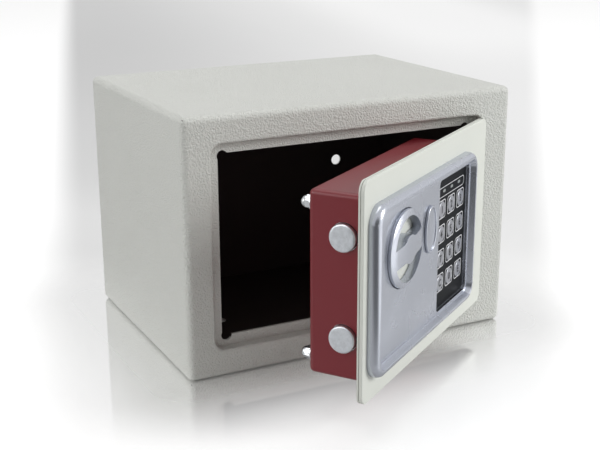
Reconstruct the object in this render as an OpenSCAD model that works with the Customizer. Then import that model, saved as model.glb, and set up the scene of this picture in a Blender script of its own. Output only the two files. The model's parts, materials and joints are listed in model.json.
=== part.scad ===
// Small electronic safe with a knob, a keypad and two round bolts.
// Cabinet frame: origin at the centre of the base, +X right, +Y to the back, +Z up.
// Door frame: origin at the lower free corner of the door's front face,
// x along the door to the hinge, y into the door, z up. in_door() places it.

/* [Cabinet] */
// Width of the cabinet
cabinet_w = 233; // [215:1:300]
// Height of the cabinet
cabinet_h = 165; // [158:1:240]
// Depth of the cabinet
cabinet_d = 170; // [130:1:260]
// Steel sheet of the cabinet
sheet_t = 1.5; // [1.2:0.1:1.7]
// Outer bend radius of the cabinet's edges
edge_r = 4; // [3:0.5:6]
// Width of the front ring beside the door's free edge
ring_side = 18; // [16:0.5:22]
// Width of the front ring beside the hinges
ring_hinge = 21; // [19:0.5:25]
// Width of the front ring above and below the door
ring_top = 17.5; // [15:0.5:20]
// Depth of the recess that the door closes into
recess_depth = 7; // [6.5:0.5:7.5]
// Corner radius of the recess
recess_r = 7.5; // [7:0.5:10]
// Width of the stop flange round the opening
flange_w = 7; // [6:0.5:8]
// Radius of the relief notches in the opening's corners
relief_r = 3.5; // [2:0.5:4]
// Diameter of the bolt holes in the back and the floor
anchor_d = 8; // [6:0.5:10]
// Distance between the two holes in the back
wall_pitch = 155; // [100:1:180]
// Height of the holes in the back
wall_hole_z = 84; // [60:1:110]
// Distance between the two holes in the floor
floor_pitch = 120; // [60:1:160]

/* [Door] */
// Opening angle of the door at rest
door_open = 35; // [20:1:60]
// Gap between the door and the recess at the sides
gap_side = 1.75; // [1.5:0.05:2]
// Gap between the door and the recess above and below
gap_top = 1.5; // [1:0.1:2.5]
// Corner radius of the door
door_r = 6; // [4:0.5:8]
// Rounding of the front plate's edges
door_edge_r = 0.4; // [0.3:0.1:0.9]
// Thickness of the front plate
front_t = 2; // [1.8:0.1:2.2]
// Width of the shadow groove between the two door plates
groove_t = 0.4; // [0.3:0.1:0.6]
// Thickness of the back plate
back_t = 1; // [0.8:0.1:1.2]
// Width of the shadow groove's floor from the door's edge
groove_in = 6; // [4:0.5:8]

/* [Hinge] */
// Hinge axis beyond the side of the recess
hinge_out = 2.5; // [2.4:0.1:2.8]
// Hinge axis behind the cabinet's front face
hinge_in = 3.8; // [3.7:0.1:4]
// Diameter of the hinge pins
pin_d = 4; // [3.4:0.1:4]
// Radial running clearance of pins and shafts
running = 0.05; // [0.03:0.01:0.08]
// Thickness of the hinge arms
arm_t = 3; // [2.5:0.1:3]
// Height of the hinge arms
arm_h = 12; // [10:1:16]
// Reach of the arms behind the hinge axis
arm_reach = 8; // [8:0.5:9]
// Reach of the arms beside the hinge axis
arm_side = 12; // [11.5:0.5:13]
// Length of the foot that is screwed to the door
foot_l = 16; // [14:1:20]
// Distance of each hinge from the end of the opening
hinge_inset = 17.5; // [16:0.5:26]
// Thickness of the bracket's ears
ear_t = 1.5; // [1:0.1:2]

/* [Lining box] */
// Lining box's side from the free edge of the door
box_x = 11.3; // [10.5:0.1:12]
// Width of the lining box
box_w = 147; // [146:0.5:149]
// Bottom of the lining box below the middle of the door
box_low = 54.7; // [53.5:0.1:55]
// Height of the lining box
box_h = 107.7; // [106:0.1:108.5]
// Depth of the lining box
box_d = 35.3; // [34:0.1:40]
// Sheet of the lining box
box_t = 1; // [0.8:0.1:1.2]
// Bend radius of the lining box
box_r = 3; // [2.5:0.5:4]
// Distance of the fixing studs from the side of the box
stud_in = 6.7; // [6:0.1:7.5]
// Distance between the upper and lower studs
stud_pitch = 89.2; // [87:0.1:91]
// Diameter of the fixing studs
stud_d = 4; // [3:0.5:4]
// Cap nut across its flats
nut_af = 7; // [6:0.5:8]

/* [Bolts] */
// Diameter of the bolts
bolt_d = 16; // [14:0.5:16]
// Distance between the two bolts
bolt_pitch = 58.6; // [58:0.1:59]
// Bolt axis behind the door's front face
bolt_y = 17; // [17:0.1:18]
// How far the drawn-back bolts stand out of the lining box
bolt_show = 3; // [2:0.1:3.5]
// Travel of the bolts
bolt_travel = 12; // [9:0.5:12]
// Length of each bolt
bolt_l = 26; // [25:0.5:28]
// Rounding of the bolts' noses
bolt_nose_r = 1; // [0.5:0.1:2]
// Thickness of the bolt carriage
carriage_t = 2; // [1.5:0.1:2.5]
// Clearance of the carriage on its posts and to its neighbours
slack = 0.3; // [0.2:0.05:0.35]

/* [Fascia] */
// Left side of the fascia from the free edge of the door
fascia_x = 5.5; // [5:0.1:8]
// Width of the fascia
fascia_w = 155.5; // [154:0.1:160]
// Bottom of the fascia below the middle of the door
fascia_z = 50.8; // [49:0.1:51]
// Height of the fascia
fascia_h = 99.5; // [97:0.1:100]
// Height of the fascia's rim above the door
rim_h = 6.4; // [6:0.1:8]
// Width of the fascia's rim
rim_w = 4.4; // [4.2:0.1:5]
// Height of the fascia's floor above the door
floor_h = 2.6; // [2.4:0.1:3]
// Slope of the rim's inner wall
rim_draft = 1.3; // [0.5:0.1:2]
// Corner radius of the fascia
fascia_r = 11; // [9:0.5:14]
// Rounding of the rim's outer edge
rim_r = 4; // [1.5:0.1:4]
// Thickness of the fascia's floor
floor_t = 1.8; // [1.4:0.1:2]

/* [Knob] */
// Knob axis from the free edge of the door
knob_x = 48.3; // [47.5:0.1:49]
// Knob axis above the middle of the door
knob_z = 14.6; // [14:0.1:16]
// Diameter of the knob
knob_d = 45.6; // [40:0.2:48]
// Height of the knob's boss above the door
knob_h = 7.1; // [6.6:0.1:7.6]
// Height of the knob's ring above the door, where it meets the pockets
knob_ring_h = 5.9; // [5.4:0.1:6.4]
// Height of the knob's outer edge above the door
knob_edge_h = 4.5; // [4:0.1:4.8]
// Width of the knob's rim
knob_rim = 3.6; // [3:0.1:5]
// Width of the knob's bar
knob_bar = 11.5; // [9:0.5:14]
// Tilt of the knob's bar with the bolts drawn back
knob_tilt = 7; // [0:1:15]
// Diameter of the spindle
spindle_d = 8; // [6:0.5:8]
// Radius of the crank pin's circle
crank_r = 8.5; // [8.4:0.1:8.6]

/* [Keypad] */
// Left side of the keypad from the free edge of the door
keypad_x = 102.3; // [102:0.1:103]
// Width of the keypad
keypad_w = 51.2; // [51:0.1:52.5]
// Bottom of the keypad below the middle of the door
keypad_z = 43.1; // [42.5:0.1:43.5]
// Height of the keypad
keypad_h = 83.8; // [83:0.1:84]
// Height of the keypad's face above the door
keypad_face = 0.2; // [0:0.1:0.5]
// Distance between neighbouring keys
key_pitch = 15.8; // [15:0.1:16]
// Top row of keys below the top of the keypad
key_row = 20.2; // [19:0.1:22]
// Diameter of a key
key_d = 10.2; // [9:0.1:12]
// Travel of a key
key_travel = 0.5; // [0.3:0.05:0.6]
// Middle key column from the middle of the keypad
key_shift = 0.3; // [0:0.1:0.8]
// Status lamps below the top of the keypad
lamp_row = 9; // [8:0.1:10.5]
// Distance between neighbouring status lamps
lamp_pitch = 12.6; // [10:0.1:15]

/* [Lock] */
// Emergency lock's axis from the free edge of the door
lock_x = 87; // [86.5:0.1:88]
// Emergency lock's axis above the middle of the door
lock_up = 15.2; // [15:0.1:16.5]
// Diameter of the lock's barrel
lock_d = 12; // [12:0.5:13]
// Diameter of the lock's plug
plug_d = 9; // [7:0.5:9]
// Width of the oval key cover
cover_w = 17; // [15:0.5:18]
// Height of the oval key cover
cover_h = 29; // [26:0.5:32]
// Radius of the oval key cover's ends
cover_end_r = 6.6; // [6:0.1:7]
// Thickness of the oval key cover
cover_t = 1.6; // [1.4:0.1:2.2]

/* [Power] */
// Diameter of a battery cell
cell_d = 14.2; // [13.5:0.1:14.3]
// Length of a battery cell without its nub
cell_l = 49; // [44:0.5:50]
// Number of cells
cell_count = 4; // [3:1:4]

/* [Hidden] */
$fn = 48;
eps = 0.1;
front_y = -cabinet_d / 2;
recess_w = cabinet_w - ring_side - ring_hinge;
recess_x = (ring_side - ring_hinge) / 2;
recess_h = cabinet_h - 2 * ring_top;
door_w = recess_w - 2 * gap_side;
door_h = recess_h - 2 * gap_top;
door_z = ring_top + gap_top;
door_t = front_t + groove_t + back_t;
mid_z = door_h / 2;
opening_w = recess_w - 2 * flange_w;
opening_h = recess_h - 2 * flange_w;
opening_z = ring_top + flange_w;
lip_r = sheet_t;
relief_in = 3;
relief_up = 1.8;

hinge_x = recess_x + recess_w / 2 + hinge_out;
hinge_y = front_y + hinge_in;
door_hinge_x = door_w + gap_side + hinge_out;
hinge_low = opening_z + hinge_inset;
hinge_high = opening_z + opening_h - hinge_inset;
ear_gap = 0.25;
slot_h = arm_h + 2 * (ear_gap + ear_t + ear_gap);
bracket_h = arm_h + 2 * (ear_gap + ear_t);
ear_left = 3.2;
web_in = 3;
web_t = 2;
hinge_screw_d = 4;

box_y = door_t;
box_back = box_y + box_d;
box_z = mid_z - box_low;
box_mid = box_z + box_h / 2;
washer_t = 0.8;
washer_d = 9.5;
nut_h = 3.4;
stud_xs = [box_x + stud_in, box_x + box_w - stud_in];
stud_zs = [box_mid - stud_pitch / 2, box_mid + stud_pitch / 2];

bolt_x = box_x - bolt_show;
bolt_zs = [box_mid - bolt_pitch / 2, box_mid + bolt_pitch / 2];
bolt_end = bolt_x + bolt_l;
bolt_gap = 0.4;
guide_t = 2;
guide_x = box_x + box_t + 0.5;
guide_foot = 9;
guide_edge = 2.2;
tab_t = 2;
tab_h = 14;
tab_y = 24;
bolt_screw_d = 5;
bolt_screw_in = 8;

flange_h = 1.2;
disc_y = door_t + flange_h + slack + 0.1;
disc_t = 2.4;
disc_r = crank_r + 4.5;
crank_pin_d = 4;
crank_slot_play = 0.4;
carriage_y = disc_y + disc_t + 1;
crank_angle = asin(bolt_travel / 2 / crank_r);
crank_dx = bolt_travel / 2;
crank_low = crank_r * cos(crank_angle);
carriage_x = bolt_end;
carriage_w = 26;
carriage_margin = 8;
tail_w = 26;
tail_z = mid_z - 19.5;
tail_h = 18;
post_d = 5;
post_x = carriage_x + 8;
post_zs = [mid_z - 23.5, mid_z - 5.5];
post_head_d = 8.4;
post_head_t = 1.7;

sol_x = 69.5;
sol_w = 14;
sol_t = 1.2;
sol_d = 12;
sol_h = 26;
sol_y = carriage_y + carriage_t / 2;
sol_z = tail_z + tail_h + 9;
plunger_d = 5;
plunger_gap = 0.4;
plunger_travel = 4;
collar_d = 8;
collar_t = 0.8;
collar_up = 5.1;
spring_wall = 0.6;
notch_play = 0.3;
notch_h = 5;

knob_back = 0.5;
knob_gap = 0.4;
hub_r = 8.4;
bush_r = 6.5;
bush_flange_r = 9;
knob_bevel = 0.5;

fascia_low = mid_z - fascia_z;
knob_up = mid_z + knob_z;
keypad_low = mid_z - keypad_z;
fascia_mid = [fascia_x + fascia_w / 2, fascia_low + fascia_h / 2];
boss_xs = [32, 96];
boss_in = 10.5;
boss_zs = [box_z + boss_in, box_z + box_h - boss_in];
boss_r = 3;
fascia_screw_d = 3;
well_t = 1.2;
well_deep = 2;
window_gap = 0.3;
overlay_t = 1;
overlay_gap = 0.2;
keypad_r = 3;
floor_corner_r = fascia_r - rim_w - rim_draft;

key_names = ["key_1", "key_2", "key_3", "key_4", "key_5", "key_6",
             "key_7", "key_8", "key_9", "key_clear", "key_0", "key_enter"];
key_gap = 0.2;
key_proud = 0.4;
key_cap_t = 1.2;
key_flange_r = 6.4;
key_flange_t = 0.8;
key_stem_d = 4;
board_y = door_t + 0.6;
board_t = 1.6;
board_in = 1;
key_stem_end = -(board_y - key_travel - 0.2);
lamp_w = 4;
lamp_h = 1.8;

lock_z = mid_z + lock_up;
lock_gap = 0.3;
barrel_front = floor_h - floor_t - lock_gap;
barrel_back = 15;
lock_nut_af = 17;
lock_nut_h = 3;
cam_y = 16;
cam_t = 2;
cam_l = 14;
cam_w = 8;
cover_gap = 0.05;
cover_cross = 41.3;
spigot_in = 1.5;
spigot_wall = 1;
spigot_h = 0.95;
oval_in = 1.25;

tray_t = 1.2;
tray_x = 92.5;
tray_down = 33.5;
tray_z = mid_z - tray_down;
cell_gap = 0.2;
cell_pitch = cell_d + cell_gap;
tray_w = cell_count * cell_pitch + cell_gap + 2 * tray_t;
contact_t = 0.5;
nub_h = 1;
nub_r = 2.75;
tray_h = cell_l + nub_h + 2 * contact_t + 2 * tray_t;
tray_back = box_back - box_t;
tray_d = cell_d + 2 * cell_gap + tray_t + 3;
tray_y = tray_back - tray_d;
cell_y = tray_y + tray_t + cell_gap + cell_d / 2;
window_in = 2;
lid_t = 1.5;
lid_gap = 0.1;
lid_over = 2;
lid_travel = 12;
lid_tongue = 1;
tongue_gap = 1;

reset_x = 88;
reset_down = 39.5;
reset_z = mid_z - reset_down;
reset_d = 7;
reset_gap = 0.1;
reset_travel = 1.2;
reset_body = 11;
reset_body_t = 6;
reset_out = 2.3;
reset_in = 4.5;
wire_r = 0.9;

// Places the door's parts: the door frame turned open about the hinge axis
module in_door() {
    translate([hinge_x, hinge_y, 0]) rotate([0, 0, door_open])
        translate([-door_hinge_x, -hinge_in, door_z]) children();
}

// Turns x, y and up into door x, door z and out of the door's face
module outward(y = 0) {
    translate([0, y, 0]) rotate([90, 0, 0]) children();
}

// The same, with up turned into the door
module inward(y = 0) {
    translate([0, y, 0]) mirror([0, 1, 0]) rotate([90, 0, 0]) children();
}

// A plate with round corners, centred in x and y
module rounded_plate(w, h, t, r) {
    translate([-w / 2 + r, -h / 2, 0]) cube([w - 2 * r, h, t]);
    translate([-w / 2, -h / 2 + r, 0]) cube([w, h - 2 * r, t]);
    for (sx = [-1, 1], sy = [-1, 1])
        translate([sx * (w / 2 - r), sy * (h / 2 - r), 0]) cylinder(r = r, h = t);
}

// The profile that rounds an edge, with its centre at the origin
module quarter_round(r) {
    intersection() {
        circle(r = r);
        square([r, r]);
    }
}

// A block with corners of radius rc, whose far face has edges of radius re
module soft_block(w, h, d, rc, re) {
    rounded_plate(w, h, d - re, rc);
    if (rc > re) rounded_plate(w - 2 * re, h - 2 * re, d, rc - re);
    else translate([re - w / 2, re - h / 2, 0]) cube([w - 2 * re, h - 2 * re, d]);
    for (a = [0, 180]) rotate([0, 0, a]) {
        translate([w / 2 - re, h / 2 - rc, d - re]) rotate([90, 0, 0])
            linear_extrude(height = h - 2 * rc) quarter_round(re);
        translate([-w / 2 + rc, h / 2 - re, d - re]) rotate([90, 0, 90])
            linear_extrude(height = w - 2 * rc) quarter_round(re);
    }
    for (sx = [-1, 1], sy = [-1, 1])
        translate([sx * (w / 2 - rc), sy * (h / 2 - rc), d - re])
            rotate_extrude() translate([rc - re, 0]) quarter_round(re);
}

// The profile cut away to round an edge, standing on the edge's flat side
module edge_profile(r) {
    difference() {
        translate([-eps, 0]) square([r + eps, r + eps]);
        translate([r, 0]) circle(r = r);
    }
}

// The cut that rounds the mouth of a rounded hole, with the mouth at z = 0
module mouth_round(w, h, rc, r) {
    for (a = [0, 180]) rotate([0, 0, a]) {
        translate([w / 2, h / 2 - rc, -r]) rotate([90, 0, 0])
            linear_extrude(height = h - 2 * rc) edge_profile(r);
        translate([-w / 2 + rc, h / 2, -r]) rotate([90, 0, 90])
            linear_extrude(height = w - 2 * rc) edge_profile(r);
    }
    for (sx = [-1, 1], sy = [-1, 1])
        translate([sx * (w / 2 - rc), sy * (h / 2 - rc), -r])
            rotate_extrude() translate([rc, 0]) edge_profile(r);
}

// A rounded pocket whose walls lean out by draft over its depth
module drafted_pocket(w, h, d, rc, draft) {
    lean = draft / d;
    over = d + eps;
    side = [[-1, 0], [1, 0], [1, over], [-1, over]];
    module wedge(half, run) {
        rotate([90, 0, 0]) translate([0, 0, -run / 2]) linear_extrude(height = run)
            polygon([for (p = side) [p[0] * (half + p[1] * lean), p[1]]]);
    }
    wedge(w / 2, h - 2 * rc);
    rotate([0, 0, 90]) wedge(h / 2, w - 2 * rc);
    for (sx = [-1, 1], sy = [-1, 1])
        translate([sx * (w / 2 - rc), sy * (h / 2 - rc), 0])
            cylinder(r1 = rc, r2 = rc + over * lean, h = over);
}

// An upright oval with straight sides
module oval(w, h, t) {
    for (s = [-1, 1]) translate([0, s * (h - w) / 2, 0]) cylinder(d = w, h = t);
    translate([-w / 2, -(h - w) / 2, 0]) cube([w, h - w, t]);
}

// The key cover's outline: an oval of four arcs, drawn in by inset. The side arcs cross the
// end arcs at a blunt angle, because arcs that only touch leave gaps in the finished mesh
module cover_oval(t, inset = 0) {
    reach = cover_h / 2 - cover_end_r;
    cross_x = cover_end_r * cos(cover_cross);
    cross_z = reach + cover_end_r * sin(cover_cross);
    bulge = cover_w / 2 - cross_x;
    side_r = (bulge * bulge + cross_z * cross_z) / (2 * bulge);
    belt = cross_z - 0.7 * (1 + inset);
    intersection() {
        translate([side_r - cover_w / 2, 0, 0]) cylinder(r = side_r - inset, h = t);
        translate([cover_w / 2 - side_r, 0, 0]) cylinder(r = side_r - inset, h = t);
        union() {
            for (s = [-1, 1]) translate([0, s * reach, 0])
                cylinder(r = cover_end_r - inset, h = t);
            translate([-cover_w / 2, -belt, 0]) cube([cover_w, 2 * belt, t]);
        }
    }
}

// A wire run through its points
module wire(points) {
    for (i = [0:len(points) - 2]) {
        run = points[i + 1] - points[i];
        reach = norm(run);
        translate(points[i]) rotate([0, acos(run[2] / reach), atan2(run[1], run[0])])
            cylinder(r = wire_r, h = reach, $fn = 16);
    }
    for (i = [1:len(points) - 2]) translate(points[i]) sphere(r = wire_r + 0.2, $fn = 16);
}

module body_shell() {
    color([0.85, 0.86, 0.83]) difference() {
        translate([0, cabinet_d / 2, cabinet_h / 2]) outward()
            soft_block(cabinet_w, cabinet_h, cabinet_d, edge_r, edge_r);
        translate([0, cabinet_d / 2 + eps, cabinet_h / 2]) outward()
            soft_block(cabinet_w - 2 * sheet_t, cabinet_h - 2 * sheet_t,
                       cabinet_d - sheet_t + eps, edge_r - sheet_t, edge_r - sheet_t);
        translate([recess_x, front_y, cabinet_h / 2]) outward() {
            translate([0, 0, -2 * sheet_t])
                rounded_plate(recess_w, recess_h, 3 * sheet_t, recess_r);
            mouth_round(recess_w, recess_h, recess_r, lip_r);
        }
        for (s = [-1, 1]) translate([s * floor_pitch / 2, 0, -eps])
            cylinder(d = anchor_d, h = sheet_t + 2 * eps);
    }
}

// The recess behind the ring, with the stop flange and the hinge slots
module door_frame() {
    wall_d = recess_depth - sheet_t;
    color([0.8, 0.8, 0.77]) difference() {
        translate([recess_x, front_y + sheet_t, cabinet_h / 2]) inward()
            rounded_plate(recess_w + 2 * sheet_t, recess_h + 2 * sheet_t,
                          wall_d + sheet_t, recess_r + sheet_t);
        translate([recess_x, front_y + sheet_t - eps, cabinet_h / 2]) inward()
            rounded_plate(recess_w, recess_h, wall_d + eps, recess_r);
        translate([recess_x - opening_w / 2, front_y, opening_z])
            cube([opening_w, recess_depth + 2 * sheet_t, opening_h]);
        for (s = [-1, 1]) {
            translate([recess_x + s * (opening_w / 2 - relief_in), front_y, opening_z]) inward()
                cylinder(r = relief_r, h = recess_depth + 2 * sheet_t);
            translate([recess_x + s * (opening_w / 2 - relief_in), front_y,
                       opening_z + opening_h - relief_up]) inward()
                cylinder(r = relief_r, h = recess_depth + 2 * sheet_t);
        }
        for (z = [hinge_low, hinge_high])
            translate([recess_x + opening_w / 2 - eps, front_y, z - slot_h / 2])
                cube([flange_w + sheet_t + 2 * eps, recess_depth + 2 * sheet_t, slot_h]);
    }
}

module back_panel() {
    color([0.83, 0.84, 0.81]) difference() {
        translate([0, cabinet_d / 2, cabinet_h / 2]) outward()
            rounded_plate(cabinet_w - 2 * sheet_t, cabinet_h - 2 * sheet_t,
                          sheet_t, edge_r - sheet_t);
        for (s = [-1, 1])
            translate([s * wall_pitch / 2, cabinet_d / 2 + eps, wall_hole_z]) outward()
                cylinder(d = anchor_d, h = sheet_t + 2 * eps);
    }
}

// Two ears on a web, with a foot welded to the back of the front ring
module hinge_bracket(z) {
    ring_back = -hinge_in + sheet_t;
    color([0.55, 0.56, 0.56]) translate([hinge_x, hinge_y, z]) difference() {
        union() {
            for (s = [0, 1])
                translate([-ear_left, ring_back,
                           s ? arm_h / 2 + ear_gap : -arm_h / 2 - ear_gap - ear_t])
                    cube([ear_left + web_in + eps, pin_d + ear_gap + hinge_in - sheet_t, ear_t]);
            translate([web_in, ring_back, -bracket_h / 2])
                cube([web_t, arm_reach + hinge_in - sheet_t, bracket_h]);
            translate([web_in, ring_back, -bracket_h / 2])
                cube([cabinet_w / 2 - edge_r - hinge_x - web_in, web_t, bracket_h]);
        }
        translate([0, 0, -bracket_h / 2 - eps])
            cylinder(d = pin_d + 2 * running, h = bracket_h + 2 * eps);
    }
}

module hinge_bracket_lower() { hinge_bracket(hinge_low); }
module hinge_bracket_upper() { hinge_bracket(hinge_high); }

// The gooseneck arm's outline, seen from above, about the hinge axis
module arm_outline() {
    rest = door_t - hinge_in;
    difference() {
        polygon([
            [-arm_t / 2, 0], [arm_t / 2, 0], [arm_t / 2, arm_reach], [-arm_side, arm_reach],
            [-arm_side, rest + arm_t], [-arm_side - foot_l, rest + arm_t],
            [-arm_side - foot_l, rest], [-arm_side + arm_t, rest],
            [-arm_side + arm_t, arm_reach - arm_t], [-arm_t / 2, arm_reach - arm_t]]);
        circle(d = pin_d);
    }
}

function foot_screw_xs() = [for (k = [0.3, 0.75]) door_hinge_x - arm_side - k * foot_l];

module hinge_arm(z) {
    color([0.62, 0.63, 0.64]) in_door() difference() {
        translate([door_hinge_x, hinge_in, z - door_z - arm_h / 2])
            linear_extrude(height = arm_h) arm_outline();
        for (x = foot_screw_xs()) translate([x, 0, z - door_z]) inward()
            cylinder(d = hinge_screw_d, h = door_t + arm_t + eps);
    }
}

module hinge_arm_lower() { hinge_arm(hinge_low); }
module hinge_arm_upper() { hinge_arm(hinge_high); }

module hinge_pins() {
    color([0.75, 0.76, 0.77]) in_door()
        for (z = [hinge_low, hinge_high])
            translate([door_hinge_x, hinge_in, z - door_z - bracket_h / 2])
                cylinder(d = pin_d, h = bracket_h);
}

// A pan-headed screw with its head's seat at z = 0 and its shank below
module pan_screw(d, l, head_r, head_t) {
    translate([0, 0, -l]) cylinder(d = d, h = l);
    cylinder(r = head_r, h = head_t);
}

module hinge_screws() {
    color([0.78, 0.78, 0.78]) in_door()
        for (z = [hinge_low, hinge_high], x = foot_screw_xs())
            translate([x, 0, z - door_z]) inward(door_t + arm_t)
                pan_screw(hinge_screw_d, arm_t + back_t + groove_t, 3.4, 2.2);
}

// Holes that both door plates share
module door_holes(t) {
    translate([knob_x, 0, knob_up]) cylinder_through(bush_r, t);
    translate([lock_x, 0, lock_z]) cylinder_through(lock_d / 2, t);
    for (x = boss_xs, z = boss_zs) translate([x, 0, z]) cylinder_through(fascia_screw_d / 2, t);
    translate([keypad_x - well_t - window_gap, -eps, keypad_low - well_t - window_gap])
        cube([keypad_w + 2 * (well_t + window_gap), t + 2 * eps,
              keypad_h + 2 * (well_t + window_gap)]);
}

module cylinder_through(r, t) {
    translate([0, -eps, 0]) inward() cylinder(r = r, h = t + 2 * eps);
}

module door_front_plate() {
    color([0.88, 0.88, 0.85]) in_door() difference() {
        translate([door_w / 2, front_t, mid_z]) outward()
            soft_block(door_w, door_h, front_t, door_r, door_edge_r);
        door_holes(front_t);
    }
}

// A sheet with a raised land, so that a narrow groove shows round the door's edge
module door_back_plate() {
    color([0.86, 0.86, 0.83]) in_door() difference() {
        union() {
            translate([door_w / 2, front_t + groove_t, mid_z]) inward()
                rounded_plate(door_w, door_h, back_t, door_r);
            translate([door_w / 2, front_t, mid_z]) inward()
                rounded_plate(door_w - 2 * groove_in, door_h - 2 * groove_in,
                              groove_t + eps, door_r);
        }
        door_holes(door_t);
        for (z = [hinge_low, hinge_high], x = foot_screw_xs())
            translate([x, 0, z - door_z]) cylinder_through(hinge_screw_d / 2, door_t);
    }
}

module door_box() {
    color([0.48, 0.19, 0.22]) in_door() difference() {
        translate([box_x + box_w / 2, box_y, box_mid]) inward()
            soft_block(box_w, box_h, box_d, box_r, box_r);
        translate([box_x + box_w / 2, box_y - eps, box_mid]) inward()
            soft_block(box_w - 2 * box_t, box_h - 2 * box_t, box_d - box_t + eps,
                       box_r - box_t, box_r - box_t);
        for (z = bolt_zs) translate([box_x - eps, bolt_y, z]) rotate([0, 90, 0])
            cylinder(d = bolt_d + 2 * bolt_gap, h = box_t + 2 * eps);
        for (x = stud_xs, z = stud_zs) translate([x, box_back - 2 * box_t, z])
            inward() cylinder(d = stud_d, h = 3 * box_t);
        translate([tray_x + window_in, box_back - 2 * box_t, tray_z + window_in])
            cube([tray_w - 2 * window_in, 3 * box_t, tray_h - 2 * window_in]);
        translate([reset_x, box_back - 2 * box_t, reset_z])
            inward() cylinder(d = reset_d + 2 * reset_gap, h = 3 * box_t);
    }
}

module box_studs() {
    color([0.75, 0.75, 0.76]) in_door()
        for (x = stud_xs, z = stud_zs) translate([x, box_y, z]) inward()
            cylinder(d = stud_d, h = box_d + washer_t + nut_h);
}

module stud_washers() {
    color([0.8, 0.8, 0.8]) in_door()
        for (x = stud_xs, z = stud_zs) translate([x, box_back, z]) inward() difference() {
            cylinder(d = washer_d, h = washer_t);
            translate([0, 0, -eps]) cylinder(d = stud_d, h = washer_t + 2 * eps);
        }
}

module cap_nuts() {
    dome_r = nut_af / 2 - 0.1;
    color([0.85, 0.85, 0.86]) in_door()
        for (x = stud_xs, z = stud_zs) translate([x, box_back + washer_t, z]) inward()
            difference() {
                union() {
                    cylinder(d = nut_af / cos(30), h = nut_h, $fn = 6);
                    translate([0, 0, nut_h]) intersection() {
                        sphere(r = dome_r);
                        cylinder(r = dome_r, h = dome_r);
                    }
                }
                translate([0, 0, -eps]) cylinder(d = stud_d, h = nut_h + eps);
            }
}

module fascia() {
    floor_w = fascia_w - 2 * (rim_w + rim_draft);
    floor_hh = fascia_h - 2 * (rim_w + rim_draft);
    back_gap = floor_h - floor_t;
    keypad_mid = [keypad_x + keypad_w / 2, keypad_low + keypad_h / 2];
    color([0.68, 0.69, 0.72]) in_door() outward() difference() {
        union() {
            difference() {
                translate(fascia_mid) soft_block(fascia_w, fascia_h, rim_h, fascia_r, rim_r);
                translate([fascia_mid[0], fascia_mid[1], floor_h])
                    drafted_pocket(floor_w, floor_hh, rim_h - floor_h, floor_corner_r, rim_draft);
                translate([fascia_mid[0], fascia_mid[1], -eps])
                    rounded_plate(floor_w, floor_hh, back_gap + eps, floor_corner_r);
            }
            for (x = boss_xs, z = boss_zs) translate([x, z, 0])
                cylinder(r = boss_r, h = floor_h);
            translate([keypad_mid[0], keypad_mid[1], -well_deep])
                rounded_plate(keypad_w + 2 * well_t, keypad_h + 2 * well_t,
                              well_deep + floor_h - eps, keypad_r + well_t);
        }
        translate([knob_x, knob_up, -eps]) cylinder(r = knob_d / 2 + knob_gap, h = rim_h);
        translate([lock_x, lock_z, -eps]) cover_oval(rim_h, oval_in);
        translate([keypad_mid[0], keypad_mid[1], keypad_face - overlay_t])
            rounded_plate(keypad_w, keypad_h, rim_h, keypad_r);
        translate([keypad_mid[0], keypad_mid[1], -well_deep - eps])
            rounded_plate(keypad_w - 2 * well_t, keypad_h - 2 * well_t, rim_h, keypad_r);
        for (x = boss_xs, z = boss_zs) translate([x, z, -eps])
            cylinder(d = fascia_screw_d, h = floor_h - 0.8 + eps);
    }
}

module fascia_screws() {
    color([0.7, 0.7, 0.7]) in_door()
        for (x = boss_xs, z = boss_zs) translate([x, 0, z]) inward(door_t)
            pan_screw(fascia_screw_d, door_t + floor_h - 0.8, 2.8, 1.8);
}

function key_x(i) = keypad_x + keypad_w / 2 + key_shift + ((i % 3) - 1) * key_pitch;
function key_z(i) = keypad_low + keypad_h - key_row - floor(i / 3) * key_pitch;
lamp_z = keypad_low + keypad_h - lamp_row;
function lamp_x(i) = keypad_x + keypad_w / 2 + key_shift + (i - 1) * lamp_pitch;

module lamp(t) {
    rotate([0, 0, 90]) oval(lamp_h, lamp_w, t);
}

module keypad_overlay() {
    color([0.19, 0.2, 0.21]) in_door() outward() difference() {
        translate([keypad_x + keypad_w / 2, keypad_low + keypad_h / 2, keypad_face - overlay_t])
            rounded_plate(keypad_w - 2 * overlay_gap, keypad_h - 2 * overlay_gap,
                          overlay_t, keypad_r - overlay_gap);
        for (i = [0:11]) translate([key_x(i), key_z(i), -2 * overlay_t])
            cylinder(d = key_d + 2 * key_gap, h = 4 * overlay_t);
        for (i = [0:2]) translate([lamp_x(i), lamp_z, -2 * overlay_t])
            lamp(4 * overlay_t);
    }
}

module status_lamps() {
    color([0.8, 0.85, 0.8]) in_door() outward()
        for (i = [0:2]) translate([lamp_x(i), lamp_z, keypad_face - overlay_t])
            lamp(overlay_t + 0.15);
}

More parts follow.
